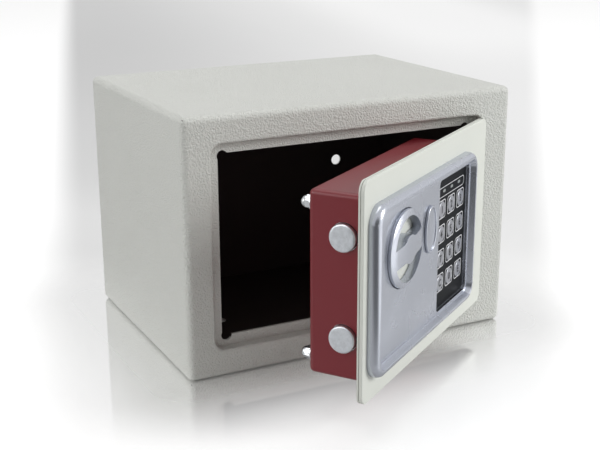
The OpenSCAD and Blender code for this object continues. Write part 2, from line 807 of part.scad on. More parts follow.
// The keypad's circuit board on four spacers behind the door plate
module keypad_board() {
    x0 = keypad_x + board_in;
    z0 = keypad_low + board_in + 2;
    w = keypad_w - 2 * board_in;
    h = keypad_h - 2 * (board_in + 2);
    spacer = well_t + window_gap + board_in + 1.5;
    edge_x = box_x + box_w - box_t - 0.2;
    color([0.15, 0.4, 0.2]) in_door() {
        translate([x0, board_y, z0]) cube([w, board_t, h]);
        for (z = [z0, z0 + h - 6]) translate([keypad_x - spacer, board_y, z])
            cube([spacer + board_in + eps, board_t, 6]);
        for (z = [z0, z0 + h - 6]) translate([keypad_x - spacer, door_t, z])
            cube([spacer - well_t - window_gap, board_y - door_t + eps, 6]);
        for (z = [z0, z0 + h - 6]) translate([x0 + w - eps, board_y, z])
            cube([edge_x - x0 - w + eps, board_t, 6]);
        for (z = [z0, z0 + h - 6]) translate([edge_x - 1.2, door_t, z])
            cube([1.2, board_y - door_t + eps, 6]);
        for (i = [0:11]) translate([key_x(i), board_y, key_z(i)]) outward()
            cylinder(d = key_stem_d, h = 0.15);
    }
}

module key_cap(i) {
    color([0.78, 0.79, 0.81]) in_door() translate([key_x(i), 0, key_z(i)]) outward() {
        top = keypad_face + key_proud;
        flange_z = keypad_face - overlay_t - key_gap - key_flange_t;
        translate([0, 0, top - key_cap_t]) cylinder(d = key_d, h = key_cap_t);
        translate([0, 0, flange_z]) cylinder(d = key_d - 1, h = top - flange_z);
        translate([0, 0, flange_z]) cylinder(r = key_flange_r, h = key_flange_t);
        translate([0, 0, key_stem_end]) cylinder(d = key_stem_d, h = flange_z - key_stem_end);
    }
}

module spindle_bush() {
    color([0.72, 0.62, 0.35]) in_door() translate([knob_x, 0, knob_up]) inward() difference() {
        union() {
            cylinder(r = bush_r, h = door_t);
            translate([0, 0, door_t]) cylinder(r = bush_flange_r, h = flange_h);
        }
        translate([0, 0, -eps])
            cylinder(d = spindle_d + 2 * running, h = door_t + flange_h + 2 * eps);
    }
}

// A bracket on the door plate that carries both bolts just inside the box
module bolt_guide() {
    z0 = bolt_zs[0] - bolt_d / 2 - guide_edge;
    h = bolt_pitch + bolt_d + 2 * guide_edge;
    color([0.7, 0.71, 0.72]) in_door() difference() {
        union() {
            translate([guide_x, door_t, z0])
                cube([guide_t, bolt_y + bolt_d / 2 + guide_edge - door_t, h]);
            translate([guide_x, door_t, z0]) cube([guide_foot, guide_t, h]);
        }
        for (z = bolt_zs) translate([guide_x - eps, bolt_y, z]) rotate([0, 90, 0])
            cylinder(d = bolt_d + 2 * running, h = guide_t + 2 * eps);
    }
}

module bolt(z) {
    color([0.78, 0.79, 0.8]) in_door() translate([bolt_x, bolt_y, z]) rotate([0, 90, 0])
        difference() {
            union() {
                translate([0, 0, bolt_nose_r]) cylinder(d = bolt_d, h = bolt_l - bolt_nose_r);
                cylinder(d = bolt_d - 2 * bolt_nose_r, h = bolt_l);
                translate([0, 0, bolt_nose_r])
                    rotate_extrude() translate([bolt_d / 2 - bolt_nose_r, 0]) circle(r = bolt_nose_r);
            }
            translate([0, 0, bolt_l - bolt_screw_in])
                cylinder(d = bolt_screw_d, h = bolt_screw_in + eps);
        }
}

module bolt_lower() { bolt(bolt_zs[0]); }
module bolt_upper() { bolt(bolt_zs[1]); }

module bolt_screws() {
    color([0.6, 0.6, 0.6]) in_door()
        for (z = bolt_zs) translate([bolt_end + tab_t, bolt_y, z]) rotate([0, 90, 0])
            pan_screw(bolt_screw_d, tab_t + bolt_screw_in, 4.2, 3);
}

// The plate that joins the bolts, with the crank's slot, the post slots and two notches
module bolt_carriage() {
    plate_z = bolt_zs[0] - carriage_margin;
    plate_h = bolt_pitch + 2 * carriage_margin;
    crank_half = crank_pin_d / 2 + crank_slot_play;
    post_half = post_d / 2 + slack;
    color([0.66, 0.67, 0.68]) in_door() difference() {
        union() {
            translate([carriage_x, carriage_y, plate_z])
                cube([carriage_w, carriage_t, plate_h]);
            translate([carriage_x + carriage_w - eps, carriage_y, tail_z])
                cube([tail_w + eps, carriage_t, tail_h]);
            for (z = bolt_zs) translate([carriage_x, carriage_y, z - tab_h / 2])
                cube([tab_t, tab_y - carriage_y, tab_h]);
        }
        translate([knob_x + crank_dx, carriage_y - eps, knob_up + crank_low]) inward() {
            translate([-crank_half, -crank_slot_play, 0])
                cube([2 * crank_half, crank_r - crank_low + 2 * crank_slot_play,
                      carriage_t + 2 * eps]);
            translate([0, -crank_slot_play, 0]) cylinder(r = crank_half, h = carriage_t + 2 * eps);
            translate([0, crank_r - crank_low + crank_slot_play, 0])
                cylinder(r = crank_half, h = carriage_t + 2 * eps);
        }
        for (z = post_zs) translate([post_x, carriage_y - eps, z]) inward() {
            cylinder(r = post_half, h = carriage_t + 2 * eps);
            translate([bolt_travel, 0, 0]) cylinder(r = post_half, h = carriage_t + 2 * eps);
            translate([0, -post_half, 0]) cube([bolt_travel, 2 * post_half, carriage_t + 2 * eps]);
        }
        for (dx = [0, bolt_travel])
            translate([sol_x + dx - plunger_d / 2 - notch_play, carriage_y - eps,
                       tail_z + tail_h - notch_h])
                cube([plunger_d + 2 * notch_play, carriage_t + 2 * eps, notch_h + eps]);
        for (z = bolt_zs) translate([carriage_x - eps, bolt_y, z]) rotate([0, 90, 0])
            cylinder(d = bolt_screw_d, h = tab_t + 2 * eps);
    }
}

module carriage_posts() {
    color([0.75, 0.75, 0.75]) in_door()
        for (z = post_zs) translate([post_x, door_t, z]) inward() {
            reach = carriage_y + carriage_t + slack - door_t;
            cylinder(d = post_d, h = reach);
            translate([0, 0, reach]) cylinder(d = post_head_d, h = post_head_t);
        }
}

// A flat-faced blank with a sloping rim; the bar and the hub stay between two pockets
module knob() {
    face = knob_h - knob_back;
    ring = knob_ring_h - knob_back;
    edge = knob_edge_h - knob_back;
    pocket_r = knob_d / 2 - knob_rim;
    slope = (ring - edge) / knob_rim;
    color([0.7, 0.71, 0.74]) in_door() translate([knob_x, 0, knob_up]) outward()
        translate([0, 0, knob_back]) rotate([0, 0, knob_tilt]) difference() {
            rotate_extrude() polygon([
                [0, 0], [knob_d / 2, 0], [knob_d / 2, edge - knob_bevel],
                [knob_d / 2 - knob_bevel, edge + knob_bevel * slope], [pocket_r, ring],
                [hub_r, face], [0, face]]);
            difference() {
                translate([0, 0, -eps]) cylinder(r = pocket_r, h = face + 2 * eps);
                translate([-knob_d / 2, -knob_bar / 2, -2 * eps])
                    cube([knob_d, knob_bar, face + 4 * eps]);
                translate([0, 0, -2 * eps]) cylinder(r = hub_r, h = face + 4 * eps);
            }
            translate([0, 0, -eps]) cylinder(d = spindle_d, h = face - 1.5 + eps);
        }
}

module knob_spindle() {
    top = knob_h - 1.5;
    color([0.65, 0.66, 0.67]) in_door() translate([knob_x, 0, knob_up]) outward()
        translate([0, 0, -disc_y - disc_t]) cylinder(d = spindle_d, h = top + disc_y + disc_t);
}

// A disc on the spindle's inner end, whose pin drives the carriage
module crank() {
    color([0.6, 0.61, 0.62]) in_door() translate([knob_x, disc_y, knob_up]) inward() {
        difference() {
            cylinder(r = disc_r, h = disc_t);
            translate([0, 0, -eps]) cylinder(d = spindle_d, h = disc_t + 2 * eps);
        }
        translate([crank_dx, crank_low, disc_t - eps])
            cylinder(d = crank_pin_d, h = 1 + carriage_t + 1.5);
    }
}

// A bent strap that holds the coil, open at its sides
module solenoid_frame() {
    color([0.72, 0.73, 0.74]) in_door() translate([sol_x, 0, sol_z]) difference() {
        union() {
            translate([-sol_w / 2, door_t, 0]) cube([sol_w, sol_t, sol_h]);
            for (z = [0, sol_h - sol_t])
                translate([-sol_w / 2, door_t, z]) cube([sol_w, sol_d, sol_t]);
        }
        translate([0, sol_y, -eps])
            cylinder(d = plunger_d + 2 * plunger_gap, h = sol_h + 2 * eps);
    }
}

module solenoid_coil() {
    coil_r = min(sol_w / 2 - 0.5, sol_y - door_t - sol_t);
    color([0.55, 0.3, 0.15]) in_door() translate([sol_x, sol_y, sol_z + sol_t]) difference() {
        cylinder(r = coil_r, h = sol_h - 2 * sol_t);
        translate([0, 0, -eps]) cylinder(d = plunger_d + 2 * running, h = sol_h);
    }
}

module solenoid_plunger() {
    tip_z = tail_z + tail_h + plunger_gap;
    color([0.8, 0.8, 0.8]) in_door() translate([sol_x, sol_y, tip_z]) {
        cylinder(d = plunger_d, h = sol_z - tip_z + sol_h - 7);
        translate([0, 0, collar_up]) cylinder(d = collar_d, h = collar_t);
    }
}

module solenoid_spring() {
    low = tail_z + tail_h + plunger_gap + collar_up + collar_t;
    color([0.7, 0.7, 0.7]) in_door() translate([sol_x, sol_y, low]) difference() {
        cylinder(d = plunger_d + 2 * spring_wall + 0.6, h = sol_z - low);
        translate([0, 0, -eps]) cylinder(d = plunger_d + 0.6, h = sol_z - low + 2 * eps);
    }
}

module lock_barrel() {
    color([0.75, 0.75, 0.76]) in_door() translate([lock_x, -barrel_front, lock_z]) inward()
        difference() {
            cylinder(d = lock_d, h = barrel_front + barrel_back);
            translate([0, 0, -eps])
                cylinder(d = plug_d + 2 * running, h = barrel_front + barrel_back + 2 * eps);
        }
}

module lock_nut() {
    color([0.7, 0.65, 0.5]) in_door() translate([lock_x, door_t, lock_z]) inward() difference() {
        cylinder(d = lock_nut_af / cos(30), h = lock_nut_h, $fn = 6);
        translate([0, 0, -eps]) cylinder(d = lock_d, h = lock_nut_h + 2 * eps);
    }
}

module lock_plug() {
    slot_w = 1.2;
    slot_l = 6;
    color([0.72, 0.66, 0.45]) in_door() translate([lock_x, -barrel_front, lock_z]) inward()
        difference() {
            cylinder(d = plug_d, h = barrel_front + cam_y);
            translate([-slot_w / 2, -slot_l / 2, -eps]) cube([slot_w, slot_l, 6]);
        }
}

// The lever on the plug's inner end that frees the carriage by hand
module lock_cam() {
    color([0.66, 0.67, 0.68]) in_door() translate([lock_x, cam_y, lock_z]) inward() {
        cylinder(d = cam_w, h = cam_t);
        translate([-cam_w / 2, 0, 0]) cube([cam_w, cam_l - cam_w / 2, cam_t]);
        translate([0, cam_l - cam_w / 2, 0]) cylinder(d = cam_w, h = cam_t);
    }
}

// The oval cap over the emergency keyhole, with a spigot that plugs into the fascia
module key_cover() {
    color([0.7, 0.71, 0.74]) in_door() translate([lock_x, 0, lock_z]) outward()
        translate([0, 0, floor_h + cover_gap]) {
            cover_oval(cover_t);
            difference() {
                translate([0, 0, -spigot_h]) cover_oval(spigot_h + eps, spigot_in);
                translate([0, 0, -spigot_h - eps])
                    cover_oval(spigot_h + eps, spigot_in + spigot_wall);
            }
        }
}

module battery_tray() {
    color([0.12, 0.12, 0.13]) in_door() difference() {
        translate([tray_x, tray_y, tray_z]) cube([tray_w, tray_d, tray_h]);
        translate([tray_x + tray_t, tray_y + tray_t, tray_z + tray_t])
            cube([tray_w - 2 * tray_t, tray_d, tray_h - 2 * tray_t]);
    }
}

function cell_x(i) = tray_x + tray_t + cell_gap + cell_d / 2 + i * cell_pitch;

module battery_cells() {
    color([0.25, 0.27, 0.3]) in_door()
        for (i = [0:cell_count - 1])
            translate([cell_x(i), cell_y, tray_z + tray_h / 2]) rotate([i % 2 ? 180 : 0, 0, 0])
                translate([0, 0, -(cell_l + nub_h) / 2]) {
                    cylinder(d = cell_d, h = cell_l);
                    cylinder(r = nub_r, h = cell_l + nub_h);
                }
}

module battery_contacts() {
    size = 9;
    color([0.85, 0.85, 0.8]) in_door()
        for (i = [0:cell_count - 1], z = [tray_z + tray_t, tray_z + tray_h - tray_t - contact_t])
            translate([cell_x(i) - size / 2, cell_y - size / 2, z])
                cube([size, size, contact_t]);
}

// Slides up to come off; its tongue runs in the window of the lining box
module battery_lid() {
    tongue_w = tray_w - 2 * window_in - 2 * tongue_gap;
    tongue_h = tray_h - 2 * window_in - 2 * tongue_gap - lid_travel;
    color([0.45, 0.18, 0.21]) in_door() {
        translate([tray_x - lid_over, box_back + lid_gap, tray_z - lid_over])
            cube([tray_w + 2 * lid_over, lid_t, tray_h + 2 * lid_over]);
        translate([tray_x + window_in + tongue_gap, box_back + lid_gap - lid_tongue,
                   tray_z + window_in + tongue_gap])
            cube([tongue_w, lid_tongue + eps, tongue_h]);
    }
}

module reset_switch() {
    color([0.2, 0.2, 0.2]) in_door() difference() {
        translate([reset_x - reset_body / 2, box_back - box_t - reset_body_t,
                   reset_z - reset_body / 2])
            cube([reset_body, reset_body_t, reset_body]);
        translate([reset_x, box_back - box_t - reset_in - reset_travel - reset_gap, reset_z])
            inward() cylinder(d = reset_d + 2 * reset_gap, h = reset_body_t + eps);
    }
}

module reset_button() {
    color([0.7, 0.1, 0.1]) in_door()
        translate([reset_x, box_back - box_t - reset_in, reset_z]) inward()
            cylinder(d = reset_d, h = reset_in + box_t + reset_out);
}

// Leads from the board to the coil, the battery tray and the reset switch
module door_wiring() {
    y0 = board_y + board_t;
    xs = [for (i = [0:2]) keypad_x + board_in + 0.7 + 2 * i];
    tray_lead = [xs[2], (y0 + tray_y) / 2, tray_z + 14];
    coil_lead = [sol_x + 3, sol_y + 2.6, sol_z + sol_h + 2.5];
    reset_lead = [reset_x, box_back - box_t - reset_body_t - 4, reset_z + 4];
    low_z = tray_z + 2;
    color([0.75, 0.1, 0.1]) in_door() {
        wire([[xs[2], y0, low_z], [xs[2], tray_lead[1], low_z], tray_lead,
              [xs[2], tray_y, tray_lead[2]]]);
        wire([[xs[0], y0, coil_lead[2]], [xs[0], coil_lead[1], coil_lead[2]], coil_lead,
              [coil_lead[0], coil_lead[1], sol_z + sol_h]]);
        wire([[xs[1], y0, reset_lead[2]], [xs[1], reset_lead[1], reset_lead[2]], reset_lead,
              [reset_lead[0], box_back - box_t - reset_body_t, reset_lead[2]]]);
    }
}

body_shell();
door_frame();
back_panel();
hinge_bracket_lower();
hinge_bracket_upper();
door_front_plate();
door_back_plate();
door_box();
hinge_arm_lower();
hinge_arm_upper();
hinge_pins();
hinge_screws();
box_studs();
stud_washers();
cap_nuts();
fascia();
fascia_screws();
keypad_overlay();
status_lamps();
keypad_board();
spindle_bush();
bolt_guide();
carriage_posts();
solenoid_frame();
solenoid_coil();
lock_barrel();
lock_nut();
battery_tray();
battery_cells();
battery_contacts();
reset_switch();
door_wiring();
bolt_lower();
bolt_upper();
bolt_carriage();
bolt_screws();
knob();
knob_spindle();
crank();
solenoid_plunger();
solenoid_spring();
lock_plug();
lock_cam();
key_cover();
battery_lid();
reset_button();
for (i = [0:11]) key_cap(i);
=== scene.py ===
# %% [markdown]
# # A small electronic safe
# The safe is a folded steel cabinet with a hinged door. The door carries a silver panel with a
# knob, a key cover and a keypad, and a burgundy box behind it that holds the lock.
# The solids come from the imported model. This lesson dresses them: it builds finer pieces where
# a solid is too plain, and gives every surface a finish made from nodes.
# The lengths of pieces are written in millimetres and become metres when a piece is placed.

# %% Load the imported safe
import json
import math

import bmesh
import bpy
from mathutils import Matrix, Vector


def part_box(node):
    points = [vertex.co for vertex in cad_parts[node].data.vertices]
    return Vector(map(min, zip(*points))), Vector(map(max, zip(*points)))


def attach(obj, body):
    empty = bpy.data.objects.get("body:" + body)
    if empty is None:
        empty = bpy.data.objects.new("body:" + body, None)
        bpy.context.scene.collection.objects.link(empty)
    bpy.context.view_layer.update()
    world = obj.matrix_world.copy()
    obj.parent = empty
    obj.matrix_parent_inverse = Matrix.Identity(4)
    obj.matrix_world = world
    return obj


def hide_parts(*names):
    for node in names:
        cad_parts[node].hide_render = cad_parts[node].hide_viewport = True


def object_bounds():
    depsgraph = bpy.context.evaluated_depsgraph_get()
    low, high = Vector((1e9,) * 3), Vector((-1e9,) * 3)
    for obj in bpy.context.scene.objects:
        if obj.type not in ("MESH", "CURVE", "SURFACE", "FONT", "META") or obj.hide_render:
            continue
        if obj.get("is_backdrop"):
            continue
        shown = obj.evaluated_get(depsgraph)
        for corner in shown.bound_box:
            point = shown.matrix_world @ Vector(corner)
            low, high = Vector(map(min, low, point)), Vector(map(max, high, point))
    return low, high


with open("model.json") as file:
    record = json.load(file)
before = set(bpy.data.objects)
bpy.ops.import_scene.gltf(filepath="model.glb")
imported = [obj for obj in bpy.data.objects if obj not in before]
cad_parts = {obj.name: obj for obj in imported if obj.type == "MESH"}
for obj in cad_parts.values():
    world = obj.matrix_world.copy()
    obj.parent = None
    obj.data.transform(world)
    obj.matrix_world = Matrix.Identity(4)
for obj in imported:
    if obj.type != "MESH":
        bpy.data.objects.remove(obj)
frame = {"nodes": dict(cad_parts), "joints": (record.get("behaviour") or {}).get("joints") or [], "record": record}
nodes = frame["nodes"]
cad_low, cad_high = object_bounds()
MM = 0.001
print("nodes", len(nodes), "box", [round(v, 3) for v in cad_low], [round(v, 3) for v in cad_high])

# %% [markdown]
# ## The camera
# The photograph was taken from the front left, a little above the safe. The numbers come from
# fitting a pinhole camera to the cabinet's and the door's corners. The photograph is 600 pixels
# wide, so a focal length in pixels becomes one in millimetres on a 36 mm sensor.

# %% Place the camera
IMAGE_WIDTH = 600
SENSOR = 36.0
FOCAL_PIXELS = 1114.7
CLIP_END = 50  # metres
CAMERA_PLACE = Vector((-339.4, -674.5, 290.2)) * MM
YAW, PITCH, ROLL = (math.radians(a) for a in (26.90, 16.77, -0.26))

camera_data = bpy.data.cameras.new("photo_camera")
camera_data.sensor_width = SENSOR
camera_data.lens = FOCAL_PIXELS * SENSOR / IMAGE_WIDTH
camera_data.clip_end = CLIP_END
camera = bpy.data.objects.new("photo_camera", camera_data)
bpy.context.scene.collection.objects.link(camera)
camera.matrix_world = (
    Matrix.Translation(CAMERA_PLACE)
    @ Matrix.Rotation(-YAW, 4, "Z")
    @ Matrix.Rotation(math.pi / 2 - PITCH, 4, "X")
    @ Matrix.Rotation(ROLL, 4, "Z")
)
bpy.context.scene.camera = camera
print("lens", round(camera_data.lens, 2), "mm")

# %% [markdown]
# ## The door's own axes
# The door stands open, so its pieces are easier to build in the door's own axes: x from the
# free edge to the hinge, y into the door, z up from the door's lower edge. The hinge joint in the
# record says where to turn them. Three more frames put a piece flat on the door's front, on the
# back of its box, or looking out of its free edge, with local z pointing outwards.

# %% Frames on the door
hinge = next(j for j in frame["joints"] if j["name"] == "door_swing")
OPEN_ANGLE = math.radians(35)
DOOR_HINGE = Vector((194.75, 3.8, 0))  # the pin, seen from the door's lower free corner
DOOR_BOTTOM = 19
door = (
    Matrix.Translation(Vector((hinge["pos_m"][0], hinge["pos_m"][1], 0)))
    @ Matrix.Rotation(OPEN_ANGLE, 4, "Z")
    @ Matrix.Translation((Vector((0, 0, DOOR_BOTTOM)) - DOOR_HINGE) * MM)
)


def axes(x, y, z, origin=(0, 0, 0)):
    """A frame in the door's axes, from its three directions and its origin."""
    matrix = Matrix.Identity(4)
    for i, column in enumerate((x, y, z)):
        matrix.col[i] = (*column, 0)
    matrix.col[3] = (*(Vector(origin) * MM), 1)
    return matrix


def on_front(x, z, height=0):
    """Local z out of the door's face, at x along and z up the door."""
    return door @ axes((1, 0, 0), (0, 0, 1), (0, -1, 0), (x, -height, z))


def on_back(x, z, depth):
    """Local z out of the back of the door's box."""
    return door @ axes((-1, 0, 0), (0, 0, 1), (0, 1, 0), (x, depth, z))


def on_edge(x, y, z):
    """Local z out of the door's free edge."""
    return door @ axes((0, 1, 0), (0, 0, 1), (-1, 0, 0), (x, y, z))


print("door frame at", [round(v / MM, 1) for v in door.translation])

# %% [markdown]
# A dressed piece must lie where its solid lies. So the sizes are read from the solids: the
# lowest and highest corner of a node, turned back into the door's axes, and from them its middle
# and its width and height on the door's face.

# %% Measure a solid on the door
def on_door(name):
    """A node's lowest and highest corners in the door's axes, in millimetres."""
    back = door.inverted()
    places = [back @ v.co / MM for v in nodes[name].data.vertices]
    return (Vector([min(p[i] for p in places) for i in range(3)]),
            Vector([max(p[i] for p in places) for i in range(3)]))


def middle(name):
    """The middle of a node on the door's face."""
    low, high = on_door(name)
    return Vector((low.x + high.x, low.z + high.z)) / 2


def face_size(name):
    """A node's width and height on the door's face."""
    low, high = on_door(name)
    return Vector((high.x - low.x, high.z - low.z))


for name in ("fascia", "knob", "key_cover", "bolt_upper", "key_5"):
    low, high = on_door(name)
    print(name, [round(v, 2) for v in low], [round(v, 2) for v in high])

# %% [markdown]
# ## Tools for making meshes
# Most pieces of a safe are turned or cut from sheet. A turned piece is a profile spun round an
# axis. A cut piece is an outline with holes, given a thickness and a small round edge, which a
# two-dimensional curve does well. A pressed rim is a stack of rounded rectangles joined up.

# %% Mesh helpers
SHARP = math.radians(35)  # faces that meet at more than this keep a crease


def finish_mesh(mesh, matrix, name):
    """Scales a mesh to metres, puts it at its place, shades it and returns its object."""
    mesh.transform(matrix @ Matrix.Scale(MM, 4))
    for polygon in mesh.polygons:
        polygon.use_smooth = True
    mesh.set_sharp_from_angle(angle=SHARP)
    made = bpy.data.objects.new(name, mesh)
    bpy.context.scene.collection.objects.link(made)
    return made


def from_bmesh(bm, name):
    """A plain mesh with its faces looking outwards."""
    mesh = bpy.data.meshes.new(name)
    bmesh.ops.recalc_face_normals(bm, faces=bm.faces)
    bm.to_mesh(mesh)
    bm.free()
    return mesh


def circle(radius, count=96, centre=(0, 0)):
    """Points round a circle."""
    steps = [2 * math.pi * i / count for i in range(count)]
    return [(centre[0] + radius * math.cos(a), centre[1] + radius * math.sin(a)) for a in steps]


def rounded_rectangle(width, height, radius, steps=10, centre=(0, 0)):
    """Points round a rectangle whose corners are arcs of so many steps."""
    points = []
    for corner, (sx, sy) in enumerate([(1, 1), (-1, 1), (-1, -1), (1, -1)]):
        cx, cy = sx * (width / 2 - radius), sy * (height / 2 - radius)
        for i in range(steps + 1):
            a = math.pi / 2 * (corner + i / steps)
            points.append((centre[0] + cx + radius * math.cos(a),
                           centre[1] + cy + radius * math.sin(a)))
    return points


# %% [markdown]
# A curve object or a stack of modifiers makes a shape that is only there when Blender works it
# out. The first helper asks for the result and keeps it as a plain mesh. The second uses it for
# plates: a flat curve with holes, filled, thickened and given round edges. Points that lie in one
# place are merged afterwards, so that the plate is closed.

# %% Keep the worked-out shape
def worked_out(data, name, prepare=None):
    """The mesh that a curve, a text or a mesh with modifiers comes out as."""
    holder = bpy.data.objects.new(name, data)
    bpy.context.scene.collection.objects.link(holder)
    tools = prepare(holder) if prepare else []
    graph = bpy.context.evaluated_depsgraph_get()
    mesh = bpy.data.meshes.new_from_object(holder.evaluated_get(graph))
    for used in [holder] + tools:
        bpy.data.objects.remove(used)
    mesh.materials.clear()
    return mesh


def plate_mesh(outlines, low, high, edge=0.0, name="plate", edge_steps=3):
    """A plate from low to high, cut to outlines (the first is the outside), with round edges."""
    curve = bpy.data.curves.new(name, "CURVE")
    curve.dimensions = "2D"
    curve.fill_mode = "BOTH"
    curve.extrude = (high - low) / 2 - edge
    curve.bevel_depth = edge
    curve.bevel_resolution = edge_steps
    curve.offset = -edge
    for outline in outlines:
        spline = curve.splines.new("POLY")
        spline.points.add(len(outline) - 1)
        for point, (x, y) in zip(spline.points, outline):
            point.co = (x, y, 0, 1)
        spline.use_cyclic_u = True
    mesh = worked_out(curve, name)
    mesh.transform(Matrix.Translation((0, 0, (low + high) / 2)))
    bm = bmesh.new()
    bm.from_mesh(mesh)
    bmesh.ops.remove_doubles(bm, verts=bm.verts, dist=1e-4)
    bmesh.ops.dissolve_degenerate(bm, dist=1e-5, edges=bm.edges)
    bmesh.ops.recalc_face_normals(bm, faces=bm.faces)
    bm.to_mesh(mesh)
    bm.free()
    return mesh


# %% [markdown]
# Knobs, bolts, keys and screws are turned: a profile is spun round an axis. The panel's rim and
# the key cover change their outline with the height, so loops are stacked and joined up.

# %% Turned and lofted meshes
def lathe_mesh(profile, name="lathe", count=72):
    """Spins a profile of (radius, height) points round local z; a radius of 0 closes the end."""
    bm = bmesh.new()
    rings = []
    for radius, height in profile:
        if radius < 1e-6:
            rings.append([bm.verts.new((0, 0, height))])
        else:
            rings.append([bm.verts.new((x, y, height)) for x, y in circle(radius, count)])
    for low, high in zip(rings, rings[1:]):
        for i in range(count):
            j = (i + 1) % count
            if len(low) == 1:
                bm.faces.new((low[0], high[i], high[j]))
            elif len(high) == 1:
                bm.faces.new((low[i], low[j], high[0]))
            else:
                bm.faces.new((low[i], low[j], high[j], high[i]))
    return from_bmesh(bm, name)


def quarter(centre, radius, start, end, steps=6):
    """Points of an arc in a profile, angles in degrees."""
    angles = [math.radians(start + (end - start) * i / steps) for i in range(steps + 1)]
    return [(centre[0] + radius * math.cos(a), centre[1] + radius * math.sin(a)) for a in angles]


def loft_mesh(loops, closed_ends=(False, False), name="loft"):
    """Joins a stack of loops, each a list of 3D points of the same count."""
    bm = bmesh.new()
    rings = [[bm.verts.new(p) for p in loop] for loop in loops]
    for low, high in zip(rings, rings[1:]):
        for i in range(len(low)):
            j = (i + 1) % len(low)
            bm.faces.new((low[i], low[j], high[j], high[i]))
    if closed_ends[0]:
        bm.faces.new(list(reversed(rings[0])))
    if closed_ends[1]:
        bm.faces.new(rings[-1])
    return from_bmesh(bm, name)


def prism_mesh(outline, low, high, name="prism"):
    """A straight prism over an outline."""
    return loft_mesh([[(x, y, z) for x, y in outline] for z in (low, high)], (True, True), name)


# %% [markdown]
# Where a tool cuts a hole into a finished body, a boolean does the same, and a bevel rounds the
# edges that it leaves. Pieces of one material that touch are joined into one mesh.

# %% Carved and joined meshes
def carved_mesh(mesh, cutters, edge, name="carved"):
    """Cuts the cutters out of a mesh and rounds the edges that are sharper than 40 degrees."""
    def prepare(holder):
        tools = []
        for cutter in cutters:
            tool = bpy.data.objects.new("cutter", cutter)
            bpy.context.scene.collection.objects.link(tool)
            cut = holder.modifiers.new("cut", "BOOLEAN")
            cut.operation, cut.solver, cut.object = "DIFFERENCE", "EXACT", tool
            tools.append(tool)
        soften = holder.modifiers.new("soften", "BEVEL")
        soften.width, soften.segments, soften.angle_limit = edge, 3, math.radians(40)
        return tools
    return worked_out(mesh, name, prepare)


def joined(meshes, name):
    """One mesh from several in the same local axes."""
    bm = bmesh.new()
    for mesh in meshes:
        bm.from_mesh(mesh)
        bpy.data.meshes.remove(mesh)
    mesh = bpy.data.meshes.new(name)
    bm.to_mesh(mesh)
    bm.free()
    return mesh


def moved(mesh, x=0, y=0, z=0, turn=0):
    """Moves a mesh in its own axes, after turning it about local z."""
    mesh.transform(Matrix.Translation((x, y, z)) @ Matrix.Rotation(math.radians(turn), 4, "Z"))
    return mesh


# %% [markdown]
# ## Finishes
# Each finish is a small node tree. Two or three noises in the object's own coordinates give a
# hammered or fine skin through a bump, and shift the roughness a little, so that highlights
# break up as they do on a real sprayed surface. Plain numbers sit on the shader itself. One
# helper makes a node and fills its sockets, so that each recipe stays a few lines long.

# %% Material helpers
materials = {}


def shader(name, color, roughness=0.5, metallic=0.0, **more):
    """A new material with one Principled shader; more holds other sockets by name."""
    material = bpy.data.materials.new(name)
    material.use_nodes = True
    principled = material.node_tree.nodes["Principled BSDF"]
    principled.inputs["Base Color"].default_value = (*color, 1)
    principled.inputs["Roughness"].default_value = roughness
    principled.inputs["Metallic"].default_value = metallic
    for socket, value in more.items():
        principled.inputs[socket.replace("_", " ")].default_value = value
    materials[name] = material
    return material


def link(material, source, target):
    material.node_tree.links.new(source, target)


def add_node(material, kind, sockets=(), **settings):
    """A new node in a material or the world; a socket takes a fixed value or a node's output."""
    made = material.node_tree.nodes.new(kind)
    for key, value in settings.items():
        setattr(made, key, value)
    for key, value in dict(sockets).items():
        if isinstance(value, bpy.types.NodeSocket):
            link(material, value, made.inputs[key])
        else:
            made.inputs[key].default_value = value
    return made


def coordinates(material):
    """The place on the object, in metres."""
    return add_node(material, "ShaderNodeTexCoord").outputs["Object"]


def noise(material, vector, size, detail=2.0, roughness=0.5):
    """Noise whose cells are about size millimetres wide."""
    sockets = {"Vector": vector, "Scale": 1 / (size * MM), "Detail": detail, "Roughness": roughness}
    return add_node(material, "ShaderNodeTexNoise", sockets).outputs["Fac"]


def ramp(material, factor, low, high, at=(0.3, 0.7)):
    """Turns a factor into a colour between low and high."""
    made = add_node(material, "ShaderNodeValToRGB", {"Fac": factor})
    for stop, position, color in zip(made.color_ramp.elements, at, (low, high)):
        stop.position = position
        stop.color = (*color, 1)
    return made.outputs["Color"]


def spread(material, factor, low, high, of=(0, 1), kind="LINEAR"):
    """Turns a factor within the range of into a number from low to high."""
    sockets = {"Value": factor, "From Min": of[0], "From Max": of[1], "To Min": low, "To Max": high}
    made = add_node(material, "ShaderNodeMapRange", sockets, interpolation_type=kind)
    return made.outputs["Result"]


def bump(material, height, depth, strength=1.0, before=None):
    """A bump of that depth in millimetres, laid over an earlier one."""
    sockets = {"Height": height, "Distance": depth * MM, "Strength": strength}
    if before is not None:
        sockets["Normal"] = before
    return add_node(material, "ShaderNodeBump", sockets).outputs["Normal"]


def dress(material, color=None, roughness=None, normal=None):
    """Links what varies over the surface to the shader."""
    principled = material.node_tree.nodes["Principled BSDF"]
    for socket, value in (("Base Color", color), ("Roughness", roughness), ("Normal", normal)):
        if value is not None:
            link(material, value, principled.inputs[socket])


def shade_of(color, factor):
    """A darker or lighter tone of a colour."""
    return tuple(c * factor for c in color)


# %% [markdown]
# ### Hammered and textured paint
# The cabinet has a hammered powder coat: soft dimples about a millimetre wide, with a finer
# grain on top. The door is a little lighter, with a finer skin. Inside, the cabinet gets an
# almost black coat, which is painted shade for its dim inside. The lock box has a smooth satin
# burgundy coat. One recipe with other numbers makes all four, since a sprayed coat differs only
# in its colour, its cells, their depth and its gloss.

# %% Paints
FINE_SHARE = 0.35  # the fine grain's cells and depth, as a share of the dimples'
BROAD_CELL = 60


